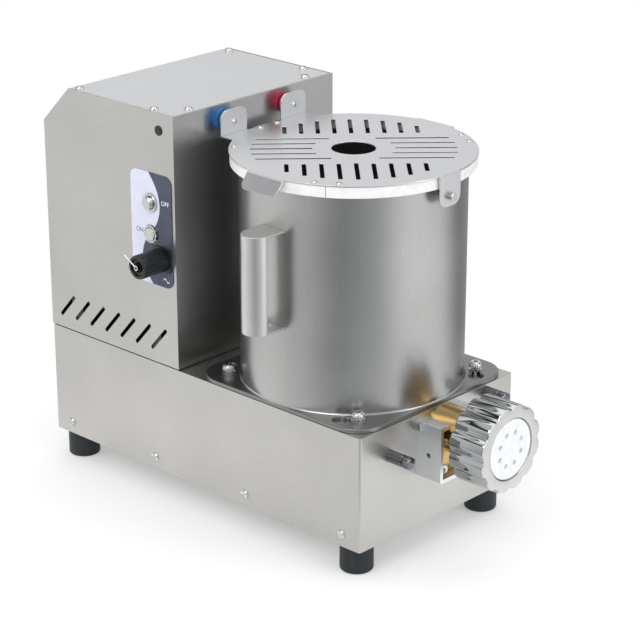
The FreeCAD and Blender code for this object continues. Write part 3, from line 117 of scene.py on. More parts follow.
# the floor's paper runs out to a plain white glow between these distances, from this share of glow, which
# lightens its shadow near the object
FLOOR_COLOUR = "fafafa"
FLOOR_REACH = 30.0
FADE_FROM = 0.26
FADE_TO = 0.62
FADE_LEAST = 0.3
WHITE = (1, 1, 1, 1)


# Settings

def measure(name, description, size):
    # size in millimetres
    return bpy.props.FloatProperty(name=name, description=description, default=size * MM, min=0.0,
                                   unit="LENGTH")


def number(name, description, value):
    return bpy.props.IntProperty(name=name, description=description, default=value, min=1)


class SheetSettings(bpy.types.PropertyGroup):
    fold: measure("Fold radius", "Rounding of a folded or laser-cut sheet edge", 0.5)
    shortest_fold: measure("Shortest fold", "The tower's shorter edges, as round its vents, stay as cut", 45)
    laser: measure("Laser-cut edge", "Rounding of the lid's cut edges", 0.3)
    plate: measure("Plate edge", "Rounding of the heavy flange plate", 0.8)
    cast: measure("Machined edge", "Broken edge of a machined or cast piece", 0.6)
    moulded: measure("Moulded edge", "Rounding of a moulded plastic edge", 0.35)
    rubber: measure("Rubber edge", "Rounding of the feet", 0.9)
    seam: measure("Seam", "Open gap under the tower's side sheets", 1.1)


class FastenerSettings(bpy.types.PropertyGroup):
    pan_radius: measure("Pan head radius", "Radius of the casing screws' heads", 4.9)
    pan_height: measure("Pan head height", "Height of the casing screws' heads", 2.5)
    small_radius: measure("Lid screw radius", "Radius of the lid screws' heads", 3.3)
    small_height: measure("Lid screw height", "Height of the lid screws' heads", 1.6)
    pin_edge: measure("Pin edge", "Broken edge of the pin's and the barrel screws' heads", 0.4)
    stud_ribs: number("Stud ribs", "Number of ribs on a bayonet stud", 20)
    stud_rib_depth: measure("Stud rib depth", "Depth of a bayonet stud's ribs", 0.35)


class LidSettings(bpy.types.PropertyGroup):
    puck_ribs: number("Puck ribs", "Number of ribs on a magnet's puck", 18)
    puck_rib_depth: measure("Puck rib depth", "Depth of the pucks' ribs", 0.8)


class PanelSettings(bpy.types.PropertyGroup):
    letter: measure("Letter height", "Size of the words beside the buttons", 6.4)
    ink: measure("Print thickness", "How far the printing stands off the film", 0.06)
    sign_width: measure("Sign width", "Width of the current sign", 8.4)
    sign_height: measure("Sign height", "Swing of the current sign's wave", 1.7)
    sign_line: measure("Sign line", "Half the height of the sign's line", 0.55)
    cap_edge: measure("Button edge", "Rounding of the buttons' steel caps", 0.5)
    collar_edge: measure("Collar edge", "Rounding of the buttons' collars", 0.3)
    cap_ribs: number("Cap ribs", "Number of ribs on the socket's cap", 24)
    cap_rib_depth: measure("Cap rib depth", "Depth of the cap's ribs", 0.7)


class HeadSettings(bpy.types.PropertyGroup):
    nut_radius: measure("Nut radius", "Radius over the ring nut's lobes", 43.0)
    nut_window: measure("Nut window", "Radius of the window over the die", 30.0)
    nut_bore: measure("Nut bore", "Radius of the ring nut's bore", 33.3)
    flutes: number("Flutes", "Number of the nut's flutes", 12)
    flute_depth: measure("Flute depth", "Depth of the nut's flutes", 3.1)
    flute_sharpness: bpy.props.FloatProperty(
        name="Flute sharpness", description="Higher values make narrower grooves between wider lobes",
        default=2.4)
    pocket_radius: measure("Pocket radius", "Radius of the die's round pockets", 2.9)
    pocket_depth: measure("Pocket depth", "Depth of the pockets' floors below the die's face", 1.1)
    pocket_ring: measure("Pocket ring", "Radius of the circle the pockets stand on", 16.5)
    pockets: number("Pockets", "Number of pockets", 8)


# Materials

def srgb(code):
    values = []
    for start in (0, 2, 4):
        share = int(code[start:start + 2], 16) / 255
        values.append(share / 12.92 if share <= 0.04045 else ((share + 0.055) / 1.055) ** 2.4)
    return (*values, 1.0)


def add(tree, kind, links=(), **settings):
    node = tree.nodes.new(kind)
    for key, value in settings.items():
        if hasattr(node, key):
            setattr(node, key, value)
        else:
            node.inputs[key.replace("_", " ")].default_value = value
    for socket, source in links:
        tree.links.new(source, node.inputs[socket])
    return node


def ramp(tree, source, stops):
    node = add(tree, "ShaderNodeValToRGB", [("Fac", source)])
    elements = node.color_ramp.elements
    while len(elements) < len(stops):
        elements.new(0.5)
    for element, (place, code) in zip(elements, stops):
        element.position = place
        element.color = srgb(code)
    return node


def feed(node, index, value):
    # links the value to the node's input if it is a socket, and sets it there if it isn't
    if isinstance(value, bpy.types.NodeSocket):
        node.id_data.links.new(value, node.inputs[index])
    else:
        node.inputs[index].default_value = value


def maths(tree, operation, *values, **settings):
    node = add(tree, "ShaderNodeMath", operation=operation, **settings)
    for index, value in enumerate(values):
        feed(node, index, value)
    return node.outputs[0]


def mixed_colour(tree, factor, first, second):
    # inputs 6 and 7 and output 2 are the node's colours
    node = add(tree, "ShaderNodeMix", [("Factor", factor)], data_type="RGBA")
    feed(node, 6, first)
    feed(node, 7, second)
    return node.outputs[2]


def span(tree, source, low, high, least, most, **settings):
    # moves values between low and high to the range from least to most
    node = add(tree, "ShaderNodeMapRange", [("Value", source)], From_Min=low, From_Max=high, To_Min=least,
               To_Max=most, **settings)
    return node.outputs["Result"]


def new_material(name, **settings):
    material = bpy.data.materials.new(name)
    material.use_nodes = True
    tree = material.node_tree
    tree.nodes.clear()
    shader = add(tree, "ShaderNodeBsdfPrincipled", **settings)
    add(tree, "ShaderNodeOutputMaterial", [("Surface", shader.outputs["BSDF"])])
    return material, tree, shader


def surface(shader, colour, gloss, height, bump, mark):
    # joins a material's colour, gloss and fine relief to its shader
    tree = shader.id_data
    relief = add(tree, "ShaderNodeBump", [("Height", height)], Strength=bump, Distance=mark)
    feed(shader, "Base Color", colour.outputs["Color"])
    feed(shader, "Roughness", gloss)
    feed(shader, "Normal", relief.outputs["Normal"])


def metal(name, dark, light, rough, grain, stretch, bump, spread=0.08):
    # brushed or turned metal: fine drawn lines change its colour and gloss across the grain
    material, tree, shader = new_material(name, Metallic=1.0)
    place = add(tree, "ShaderNodeTexCoord")
    scaled = add(tree, "ShaderNodeMapping", [("Vector", place.outputs["Object"])], Scale=stretch)
    lines = add(tree, "ShaderNodeTexNoise", [("Vector", scaled.outputs["Vector"])], Scale=1 / grain,
                Detail=4.0, Roughness=0.6)
    cloud = add(tree, "ShaderNodeTexNoise", [("Vector", place.outputs["Object"])], Scale=CLOUD_SCALE,
                Detail=2.0)
    mixed = maths(tree, "MULTIPLY_ADD", lines.outputs["Fac"], cloud.outputs["Fac"], CLOUD_SHARE)
    colour = ramp(tree, mixed, ((GRAIN_LOW, dark), (GRAIN_HIGH, light)))
    gloss = span(tree, mixed, GRAIN_LOW, GRAIN_HIGH, rough - spread / 2, rough + spread / 2)
    surface(shader, colour, gloss, lines.outputs["Fac"], bump, TOOL_MARK)
    return material


def plastic(name, dark, light, rough, grain, bump, coat=0.0):
    # moulded plastic or rubber: a faint mottle and the mould's fine texture
    material, tree, shader = new_material(name, IOR=PLASTIC_IOR, Coat_Weight=coat)
    place = add(tree, "ShaderNodeTexCoord")
    mottle = add(tree, "ShaderNodeTexNoise", [("Vector", place.outputs["Object"])], Scale=1 / MOTTLE,
                 Detail=3.0)
    colour = ramp(tree, mottle.outputs["Fac"], ((MOULD_LOW, dark), (MOULD_HIGH, light)))
    fine = add(tree, "ShaderNodeTexNoise", [("Vector", place.outputs["Object"])], Scale=1 / grain, Detail=2.0)
    gloss = span(tree, fine.outputs["Fac"], 0.0, 1.0, max(rough - GLOSS_SWING, GLOSS_LEAST),
                 rough + GLOSS_SWING)
    surface(shader, colour, gloss, fine.outputs["Fac"], bump, MOULD_MARK)
    return material


MATERIALS = {}


def make_materials():
    grain = 0.35 * MM
    along_x = (0.03, 1.0, 1.0)
    along_z = (1.0, 1.0, 0.03)
    turned_x = (0.1, 1.0, 1.0)
    even = (1.0, 1.0, 1.0)
    m = MATERIALS
    # satin stainless, brushed along the casing: a soft, warm grey sheen with no sharp mirror image
    m["satin_casing"] = metal("satin_stainless_casing", "c0bfbc", "d2d1ce", 0.36, grain, along_x, 0.25)
    # satin stainless, rolled and brushed up the bowl: upright streaks in its bands of light
    m["satin_bowl"] = metal("satin_stainless_bowl", "b2b2b1", "cacac9", 0.30, grain, along_z, 0.25)
    # the handle's folded sheet, the bowl's stainless painted brighter: painted light on its broad pale flanks
    m["handle_painted_light"] = metal("satin_stainless_handle", "d2d2d0", "e4e4e2", 0.36, grain, along_z, 0.2)
    # heavy flange plate, polished dull: painted shade makes it darker than the bowl above it, standing in for
    # its dark reflection of that bowl, which it also mirrors softly
    m["flange_painted_shade"] = metal("dull_polished_flange", "858685", "9a9b9a", 0.36, grain, along_x, 0.12)
    # laser-cut stainless lid: the brushing runs across it, a little cooler and brighter
    m["satin_lid"] = metal("satin_stainless_lid", "d4d5d7", "e2e3e5", 0.32, grain, along_x, 0.2)
    # bright-rolled stainless, the tower's front face: a smooth dim mirror of the bowl beside it
    m["bright_sheet"] = metal("bright_rolled_stainless", "b6b7b6", "c4c5c4", 0.3, grain, along_z, 0.1)
    # turned and polished fasteners: small hard highlights
    m["bright_screw"] = metal("polished_stainless_screw", "c9c9c7", "e2e2e0", 0.16, 0.2 * MM, even, 0.05)
    # chrome plate over turned brass: a near-perfect mirror on the flutes
    m["chrome"] = metal("chrome_plate", "a4a7a8", "babdbe", 0.05, 0.5 * MM, turned_x, 0.01, 0.03)
    # the same plate, faced on a lathe and left satin: the ring nut's even, pale front
    m["faced_chrome"] = metal("faced_satin_chrome", "cfcfcc", "dfdfdc", 0.33, 0.3 * MM, even, 0.15)
    # black nickel on the turned accessory studs and the grub screw: darker than the ring nut
    m["dark_chrome"] = metal("black_nickel_plate", "6a6d6f", "85888a", 0.14, 0.4 * MM, turned_x, 0.03)
    # milled aluminium: bright and matt, with faint cutter lines
    m["milled_aluminium"] = metal("milled_aluminium", "eaedf0", "f6f8fa", 0.38, 0.5 * MM, (1, 1, 0.08), 0.3)
    # cast brass head, rough-turned: warm and uneven
    m["cast_brass"] = metal("turned_cast_brass", "c6a25f", "e6ca92", 0.24, 0.6 * MM, (0.2, 1, 1), 0.08, 0.1)
    # hobbed and ground carbon steel, the drive inside: mid grey, with an oiled gloss
    m["machined_steel"] = metal("machined_carbon_steel", "77797b", "909294", 0.3, 0.4 * MM, (1, 1, 0.1), 0.2)
    # stoved enamel on the motor, near black; its bracket and the tower's inner walls take the same near black
    # as painted shade behind the vents
    m["enamel_and_painted_shade"] = plastic("stoved_motor_enamel", "23272b", "2d3136", 0.42, 0.4 * MM, 0.2, 0.2)
    # moulded styrene-butadiene rubber: nearly black, dull, with a pale bloom
    m["foot_rubber"] = plastic("moulded_foot_rubber", "131c1f", "1c2629", 0.52, 0.3 * MM, 0.3)
    # moulded glass-filled nylon: black with a broad soft shine
    m["black_nylon"] = plastic("moulded_black_nylon", "12171a", "1d2427", 0.34, 0.25 * MM, 0.25, 0.1)
    # turned polyethylene ring: milky white, with a soft waxy gloss
    m["white_polyethylene"] = plastic("turned_white_polyethylene", "e0e0e0", "e9e9e8", 0.38, 0.4 * MM, 0.15)
    # turned acetal die: clean bright white, slightly glossier
    m["white_acetal"] = plastic("turned_white_acetal", "e1e3e5", "eaecee", 0.28, 0.3 * MM, 0.1)
    # the same acetal painted darker as shade: grey discs on the floors of the die's pockets
    m["pocket_painted_shade"] = plastic("shaded_acetal_pocket", "b4b8ba", "c0c4c6", 0.45, 0.3 * MM, 0.1)
    # injection-moulded pucks over the magnets: clear blue and crimson with a light gloss
    m["blue_abs"] = plastic("moulded_blue_abs", "0f86d8", "1a9af0", 0.26, 0.3 * MM, 0.1, 0.2)
    m["crimson_abs"] = plastic("moulded_crimson_abs", "cf1650", "e62161", 0.26, 0.3 * MM, 0.1, 0.2)
    # reverse-printed polyester film: flat colour under a faint gloss
    m["pale_film"] = plastic("printed_film_pale", "cfd3e4", "d6daeb", 0.3, 0.2 * MM, 0.05)
    m["slate_film"] = plastic("printed_film_slate", "3b4153", "434a5d", 0.28, 0.2 * MM, 0.05)
    # screen-printed ink: matt letters with crisp edges
    m["white_ink"] = plastic("screen_ink_white", "e9ebf0", "f2f3f6", 0.4, 0.2 * MM, 0.02)
    m["slate_ink"] = plastic("screen_ink_slate", "454b5c", "4c5263", 0.4, 0.2 * MM, 0.02)
    # glass-fibre board under green solder lacquer: dark, with a wet shine
    m["green_lacquer"] = plastic("lacquered_board", "12502b", "186336", 0.3, 0.3 * MM, 0.1, 0.3)


def band_profile(tree, vector):
    # the studio's bands, by compass direction about the object
    parts = add(tree, "ShaderNodeSeparateXYZ", [("Vector", vector)])
    angle = maths(tree, "ARCTAN2", parts.outputs["Y"], parts.outputs["X"])
    bands = ramp(tree, maths(tree, "MULTIPLY_ADD", angle, 1 / math.tau, 0.5), BANDS)
    bands.color_ramp.interpolation = "EASE"
    return bands.outputs["Color"]


# Mesh helpers

def link(name, mesh):
    piece = bpy.data.objects.new(name, mesh)
    bpy.context.scene.collection.objects.link(piece)
    return piece


def bake(piece):
    # turns the evaluated piece into a plain mesh with its place in its points
    bpy.context.view_layer.update()
    depsgraph = bpy.context.evaluated_depsgraph_get()
    mesh = bpy.data.meshes.new_from_object(piece.evaluated_get(depsgraph), depsgraph=depsgraph)
    mesh.transform(piece.matrix_world)
    name = piece.name
    bpy.data.objects.remove(piece)
    return link(name, mesh)


def mark_smooth(mesh, angle):
    work = bmesh.new()
    work.from_mesh(mesh)
    for face in work.faces:
        face.smooth = True
    for edge in work.edges:
        edge.smooth = len(edge.link_faces) == 2 and edge.calc_face_angle(math.pi) < math.radians(angle)
    work.to_mesh(mesh)
    work.free()


def paint(piece, *names):
    piece.data.materials.clear()
    for name in names:
        piece.data.materials.append(MATERIALS[name])
    return piece


def dressed(node, finish, edge, angle=FOLDED_EDGE, segments=2, shortest=0.0, joined=True):
    # a copy of a solid's own mesh, its flat faces joined and its edges longer than shortest softly broken
    work = bmesh.new()
    work.from_mesh(NODES[node].data)
    bmesh.ops.remove_doubles(work, verts=work.verts, dist=MERGE)
    if joined:
        bmesh.ops.dissolve_limit(work, angle_limit=math.radians(LEVEL), verts=work.verts, edges=work.edges)
    weight = work.edges.layers.float.new("bevel_weight_edge")
    for line in work.edges:
        sharp = len(line.link_faces) == 2 and line.calc_face_angle(0.0) > math.radians(angle)
        line[weight] = float(sharp and line.calc_length() > shortest)
    mesh = bpy.data.meshes.new("dressed_" + node)
    work.to_mesh(mesh)
    work.free()
    piece = link("dressed_" + node, mesh)
    mark_smooth(mesh, angle)
    if edge > 0:
        bevel = piece.modifiers.new("edge", "BEVEL")
        bevel.width = edge
        bevel.segments = segments
        bevel.limit_method = "WEIGHT"
        bevel.use_clamp_overlap = True
        bevel.mark_sharp = False
        piece = bake(piece)
        mark_smooth(piece.data, ROUNDED_EDGE)
    return paint(level_shading(piece), finish)


def level_shading(piece):
    # the large flat faces set the shading, so that no broken edge tints them
    weights = piece.modifiers.new("shading", "WEIGHTED_NORMAL")
    weights.mode = "FACE_AREA"
    weights.weight = 100
    weights.keep_sharp = True
    return bake(piece)


def seat(piece, body, slot, *nodes):
    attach(piece, body)
    if nodes:
        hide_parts(*nodes)
    return piece


def seat_dressed(node, finish, edge, body, slot, **shaping):
    seat(dressed(node, finish, edge, **shaping), body, slot, node)


def lathe(name, profile, steps):
    # profile of (radius, height) turned about +Z
    work = bmesh.new()
    points = [work.verts.new((radius, 0.0, height)) for radius, height in profile]
    edges = [work.edges.new(pair) for pair in zip(points, points[1:])]
    bmesh.ops.spin(work, geom=points + edges, cent=(0, 0, 0), axis=(0, 0, 1), angle=math.tau, steps=steps,
                   use_merge=True)
    bmesh.ops.remove_doubles(work, verts=work.verts, dist=MERGE / 4)
    bmesh.ops.recalc_face_normals(work, faces=work.faces)
    mesh = bpy.data.meshes.new(name)
    work.to_mesh(mesh)
    work.free()
    mark_smooth(mesh, TURNED_EDGE)
    return link(name, mesh)


def turn_to(direction):
    return Vector((0, 0, 1)).rotation_difference(Vector(direction)).to_matrix().to_4x4()


# Geometry trees

def node_tree(name, inputs):
    tree = bpy.data.node_groups.new(name, "GeometryNodeTree")
    tree.interface.new_socket("Geometry", in_out="INPUT", socket_type="NodeSocketGeometry")
    for label, kind, value in inputs:
        socket = tree.interface.new_socket(label, in_out="INPUT", socket_type=kind)
        if value is not None:
            socket.default_value = value
    tree.interface.new_socket("Geometry", in_out="OUTPUT", socket_type="NodeSocketGeometry")
    return tree


def end_tree(tree, start, shape):
    # every tree ends alike: its instances made real and its finish set
    real = add(tree, "GeometryNodeRealizeInstances", [("Geometry", shape)])
    finish = add(tree, "GeometryNodeSetMaterial", [
        ("Geometry", real.outputs["Geometry"]), ("Material", start.outputs["Finish"])])
    add(tree, "NodeGroupOutput", [("Geometry", finish.outputs["Geometry"])])
    return tree


def fastener_tree():
    # one head on every point, turned to the point's own facing and clocked about it
    tree = node_tree("fastener_places", [
        ("Head", "NodeSocketObject", None), ("Finish", "NodeSocketMaterial", None),
        ("Seed", "NodeSocketInt", 3)])
    start = add(tree, "NodeGroupInput")
    head = add(tree, "GeometryNodeObjectInfo", [("Object", start.outputs["Head"])])
    facing = add(tree, "GeometryNodeInputNamedAttribute", data_type="FLOAT_VECTOR", Name="facing")
    clock = add(tree, "FunctionNodeRandomValue", [("Seed", start.outputs["Seed"])], data_type="FLOAT")
    feed(clock, 2, 0.0)
    feed(clock, 3, math.pi)
    spin = add(tree, "ShaderNodeCombineXYZ", [("Z", clock.outputs[1])])
    aligned = add(tree, "FunctionNodeAlignRotationToVector", [("Vector", facing.outputs["Attribute"])],
                  axis="Z")
    turned = add(tree, "FunctionNodeRotateRotation", [
        ("Rotation", aligned.outputs["Rotation"]), ("Rotate By", spin.outputs["Vector"])],
                 rotation_space="LOCAL")
    placed = add(tree, "GeometryNodeInstanceOnPoints", [
        ("Points", start.outputs["Geometry"]), ("Instance", head.outputs["Geometry"]),
        ("Rotation", turned.outputs["Rotation"])])
    return end_tree(tree, start, placed.outputs["Instances"])


def flute_tree():
    # pulls the outer wall of a turned piece inwards in even flutes about its own +Z
    tree = node_tree("even_flutes", [
        ("Flutes", "NodeSocketFloat", 12.0), ("Depth", "NodeSocketFloat", 3 * MM),
        ("Sharpness", "NodeSocketFloat", 2.0), ("From Radius", "NodeSocketFloat", 40 * MM),
        ("Finish", "NodeSocketMaterial", None)])
    start = add(tree, "NodeGroupInput")
    place = add(tree, "GeometryNodeInputPosition")
    parts = add(tree, "ShaderNodeSeparateXYZ", [("Vector", place.outputs["Position"])])
    angle = maths(tree, "ARCTAN2", parts.outputs["Y"], parts.outputs["X"])
    wave = maths(tree, "COSINE", maths(tree, "MULTIPLY", angle, start.outputs["Flutes"]))
    shaped = maths(tree, "POWER", maths(tree, "MULTIPLY_ADD", wave, 0.5, 0.5), start.outputs["Sharpness"])
    flat = add(tree, "ShaderNodeCombineXYZ", [("X", parts.outputs["X"]), ("Y", parts.outputs["Y"])])
    reach = add(tree, "ShaderNodeVectorMath", [(0, flat.outputs["Vector"])], operation="LENGTH")
    outer = add(tree, "FunctionNodeCompare", [
        ("A", reach.outputs["Value"]), ("B", start.outputs["From Radius"])],
                data_type="FLOAT", operation="GREATER_THAN")
    outward = add(tree, "ShaderNodeVectorMath", [(0, flat.outputs["Vector"])], operation="NORMALIZE")
    inwards = maths(tree, "MULTIPLY", maths(tree, "MULTIPLY", shaped, start.outputs["Depth"]), -1.0)
    offset = add(tree, "ShaderNodeVectorMath", [(0, outward.outputs["Vector"]), ("Scale", inwards)],
                 operation="SCALE")
    moved = add(tree, "GeometryNodeSetPosition", [
        ("Geometry", start.outputs["Geometry"]), ("Selection", outer.outputs["Result"]),
        ("Offset", offset.outputs["Vector"])])
    return end_tree(tree, start, moved.outputs["Geometry"])


def apply_tree(piece, tree, values):
    modifier = piece.modifiers.new("shape", "NODES")
    modifier.node_group = tree
    for item in tree.interface.items_tree:
        if item.in_out == "INPUT" and item.name in values:
            modifier[item.identifier] = values[item.name]
    return bake(piece)


def tree_named(name, maker):
    return bpy.data.node_groups.get(name) or maker()


def set_on_points(name, places, head, finish):
    mesh = bpy.data.meshes.new(name)
    mesh.from_pydata([place for place, facing in places], [], [])
    facing = mesh.attributes.new("facing", "FLOAT_VECTOR", "POINT")
    for index, (place, direction) in enumerate(places):
        facing.data[index].vector = direction
    piece = apply_tree(link(name, mesh), tree_named("fastener_places", fastener_tree),
                       {"Head": head, "Finish": MATERIALS[finish]})
    mark_smooth(piece.data, TURNED_EDGE)
    return piece


def fluted(name, profile, steps, count, depth, sharpness, from_radius, matrix, finish):
    piece = lathe(name, profile, steps)
    piece = apply_tree(piece, tree_named("even_flutes", flute_tree), {
        "Flutes": float(count), "Depth": depth, "Sharpness": sharpness, "From Radius": from_radius,
        "Finish": MATERIALS[finish]})
    piece.data.transform(matrix)
    mark_smooth(piece.data, TURNED_EDGE)
    return piece


def solid_boxes(node):
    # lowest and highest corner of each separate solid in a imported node
    work = bmesh.new()
    work.from_mesh(NODES[node].data)
    bmesh.ops.remove_doubles(work, verts=work.verts, dist=MERGE)
    left = set(work.verts)
    boxes = []
    while left:
        group = [left.pop()]
        for vert in group:
            for edge in vert.link_edges:
                other = edge.other_vert(vert)
                if other in left:
                    left.remove(other)
                    group.append(other)
        low = Vector([min(vert.co[axis] for vert in group) for axis in range(3)])
        high = Vector([max(vert.co[axis] for vert in group) for axis in range(3)])
        boxes.append((low, high))
    work.free()
    return sorted(boxes, key=lambda pair: tuple(pair[0]))


def places_on(node, facing, back=None):
    # for each solid in the node, the middle of its low end, or of a plane this far behind its high end
    axis = facing.index(1)
    places = []
    for low, high in solid_boxes(node):
        place = (low + high) / 2
        place[axis] = low[axis] if back is None else high[axis] - back
        places.append((tuple(place), facing))
    return places


def slotted_head(name, radius, height):
    # a pan head turned on a lathe, its slot milled after
    profile = [(0, height), (radius * 0.45, height * 0.96), (radius * 0.78, height * 0.74),
               (radius * 0.96, height * 0.36), (radius, height * 0.12), (radius, 0), (0, 0)]
    head = lathe(name, profile, 28)
    cutter = bpy.data.meshes.new(name + "_slot")
    work = bmesh.new()
    slot = Matrix.Diagonal((radius * 2.4, radius * 0.22, height * 0.9, 1.0))
    bmesh.ops.create_cube(work, size=1.0, matrix=Matrix.Translation((0, 0, height)) @ slot)
    work.to_mesh(cutter)
    work.free()
    tool = link(name + "_slot", cutter)
    cut = head.modifiers.new("slot", "BOOLEAN")
    cut.operation = "DIFFERENCE"
    cut.object = tool
    cut.solver = "EXACT"
    head = bake(head)
    bpy.data.objects.remove(tool)
    mark_smooth(head.data, TURNED_EDGE)
    return head


# Operators, one for each group of pieces

class PASTA_OT_finishes(bpy.types.Operator):
    """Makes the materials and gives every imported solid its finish"""
    bl_idname = "pasta.finishes"
    bl_label = "Finishes"

    def execute(self, context):
        make_materials()
        plain = {
            "satin_casing": "base_casing bottom_plate tower_casing front_plate",
            "satin_bowl": "bowl_shell",
            "flange_painted_shade": "bowl_flange",
            "handle_painted_light": "bowl_handle",
            "satin_lid": "tower_top_cover lid_plate",
            "bright_screw": "foot_bolts base_screws top_cover_screws lid_screws magnet_screws bayonet_studs"
                            " lid_pin barrel_screws socket_cap_eyelet head_clip off_button_cap"
                            " on_button_cap",
            "chrome": "ring_nut off_button_collar on_button_collar",
            "dark_chrome": "accessory_studs",
            "milled_aluminium": "head_bracket gearbox_housing layshaft_pulley output_pulley bearing_supports",
            "cast_brass": "extrusion_barrel mixer_bush",
            "machined_steel": "layshaft layshaft_bevel layshaft_gear mixer_shaft mixer_bevel mixer_paddle"
                              " auger_screw auger_gear motor_rotor shaft_bearings",
            # the motor's enamel; on its bracket it is painted shade behind the vents
            "enamel_and_painted_shade": "motor_housing motor_bracket",
            "foot_rubber": "rubber_feet drive_belt",
            "black_nylon": "auxiliary_socket socket_cap cable_gland switch_blocks motor_fan reed_switches"
                           " hole_plug",
            "white_polyethylene": "lid_ring",
            "white_acetal": "die_insert",
            "blue_abs": "blue_magnet",
            "crimson_abs": "red_magnet",
            "pale_film": "overlay_light",
            "slate_film": "overlay_dark",
            "green_lacquer": "control_board",
        }
        for finish, names in plain.items():
            for name in names.split():
                mesh = NODES[name].data
                mesh.materials.clear()
                mesh.materials.append(MATERIALS[finish])
        return {"FINISHED"}


class PASTA_OT_casing(bpy.types.Operator):
    """Folds the edges of the base, the tower and its cover"""
    bl_idname = "pasta.casing"
    bl_label = "Casing"

    def looks_inward(self, face, low, high):
        # true on a wall's inner side, which is painted near black as the shade that shows through the vents
        middle = (low + high) / 2
        behind_skin = low.x + SKIN < face.center.x < high.x - SKIN
        if abs(face.normal.x) <= FACING:
            behind_skin = behind_skin and abs(face.center.y - middle.y) < (high.y - low.y) / 2 - SKIN
        toward = face.normal.xy.dot((middle - face.center).xy)
        return behind_skin and toward > INWARD_REACH and abs(face.normal.z) < UPRIGHT

    def execute(self, context):
        sheet = context.scene.pasta_sheet
        seat_dressed("base_casing", "satin_casing", sheet.fold, "housing", "base_steel")
        tower = dressed("tower_casing", "satin_casing", sheet.fold, shortest=sheet.shortest_fold,
                        joined=False)
        tower.data.materials.append(MATERIALS["bright_sheet"])
        # the third finish: the tower's inner walls painted near black as shade
        tower.data.materials.append(MATERIALS["enamel_and_painted_shade"])
        low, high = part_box("tower_casing")
        # the side sheets end above the base, with an open seam between
        for vert in tower.data.vertices:
            if vert.co.z < low.z + 2 * sheet.fold:
                vert.co.z += sheet.seam
        for face in tower.data.polygons:
            if face.normal.x > FLAT_ON and face.center.x > high.x - FRONT_SKIN:
                face.material_index = 1
            elif self.looks_inward(face, low, high):
                face.material_index = 2
        seat(tower, "housing", "base_steel", "tower_casing")
        seat_dressed("tower_top_cover", "satin_lid", sheet.fold, "housing", "base_steel")
        seat_dressed("front_plate", "satin_casing", sheet.fold, "housing", "bowl_steel")
        return {"FINISHED"}


class PASTA_OT_bowl(bpy.types.Operator):
    """Finishes the bowl, its flange plate and its folded handle"""
    bl_idname = "pasta.bowl"
    bl_label = "Bowl"

    def execute(self, context):
        sheet = context.scene.pasta_sheet
        seat_dressed("bowl_shell", "satin_bowl", sheet.fold, "bowl", "bowl_steel", angle=ROUNDED_EDGE)
        seat_dressed("bowl_flange", "flange_painted_shade", sheet.plate, "bowl", "bowl_steel")
        seat_dressed("bowl_handle", "handle_painted_light", sheet.cast, "bowl", "bowl_steel")
        return {"FINISHED"}


class PASTA_OT_lid(bpy.types.Operator):
    """Finishes the cut and folded lid, its white ring and its two ribbed pucks"""
    bl_idname = "pasta.lid"
    bl_label = "Lid"

    def execute(self, context):
        sheet = context.scene.pasta_sheet
        seat_dressed("lid_plate", "satin_lid", sheet.laser, "lid", "bowl_steel", segments=1)
        seat_dressed("lid_ring", "white_polyethylene", sheet.moulded, "lid", "white_plastic")
        pin_edge = context.scene.pasta_fasteners.pin_edge
        seat_dressed("lid_pin", "bright_screw", pin_edge, "lid", "bright_steel")
        settings = context.scene.pasta_lid
        for node, finish, slot in (("blue_magnet", "blue_abs", "magnet_blue"),
                                   ("red_magnet", "crimson_abs", "magnet_red")):
            low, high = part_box(node)
            radius = (high.z - low.z) / 2
            length = high.x - low.x
            bore = 1.7 * MM
            profile = [(bore, 0), (radius - 1.4 * MM, 0), (radius - 0.3 * MM, 0.6 * MM), (radius, 1.4 * MM),
                       (radius, length - 1.2 * MM), (radius - 0.4 * MM, length - 0.4 * MM),
                       (radius - 1.2 * MM, length), (bore, length), (bore, 0)]
            middle = (low + high) / 2
            matrix = Matrix.Translation((low.x, middle.y, middle.z)) @ turn_to((1, 0, 0))
            puck = fluted("ribbed_" + node, profile, 216, settings.puck_ribs, settings.puck_rib_depth, 3.0,
                          radius - 0.5 * MM, matrix, finish)
            seat(puck, "lid", slot, node)
        return {"FINISHED"}


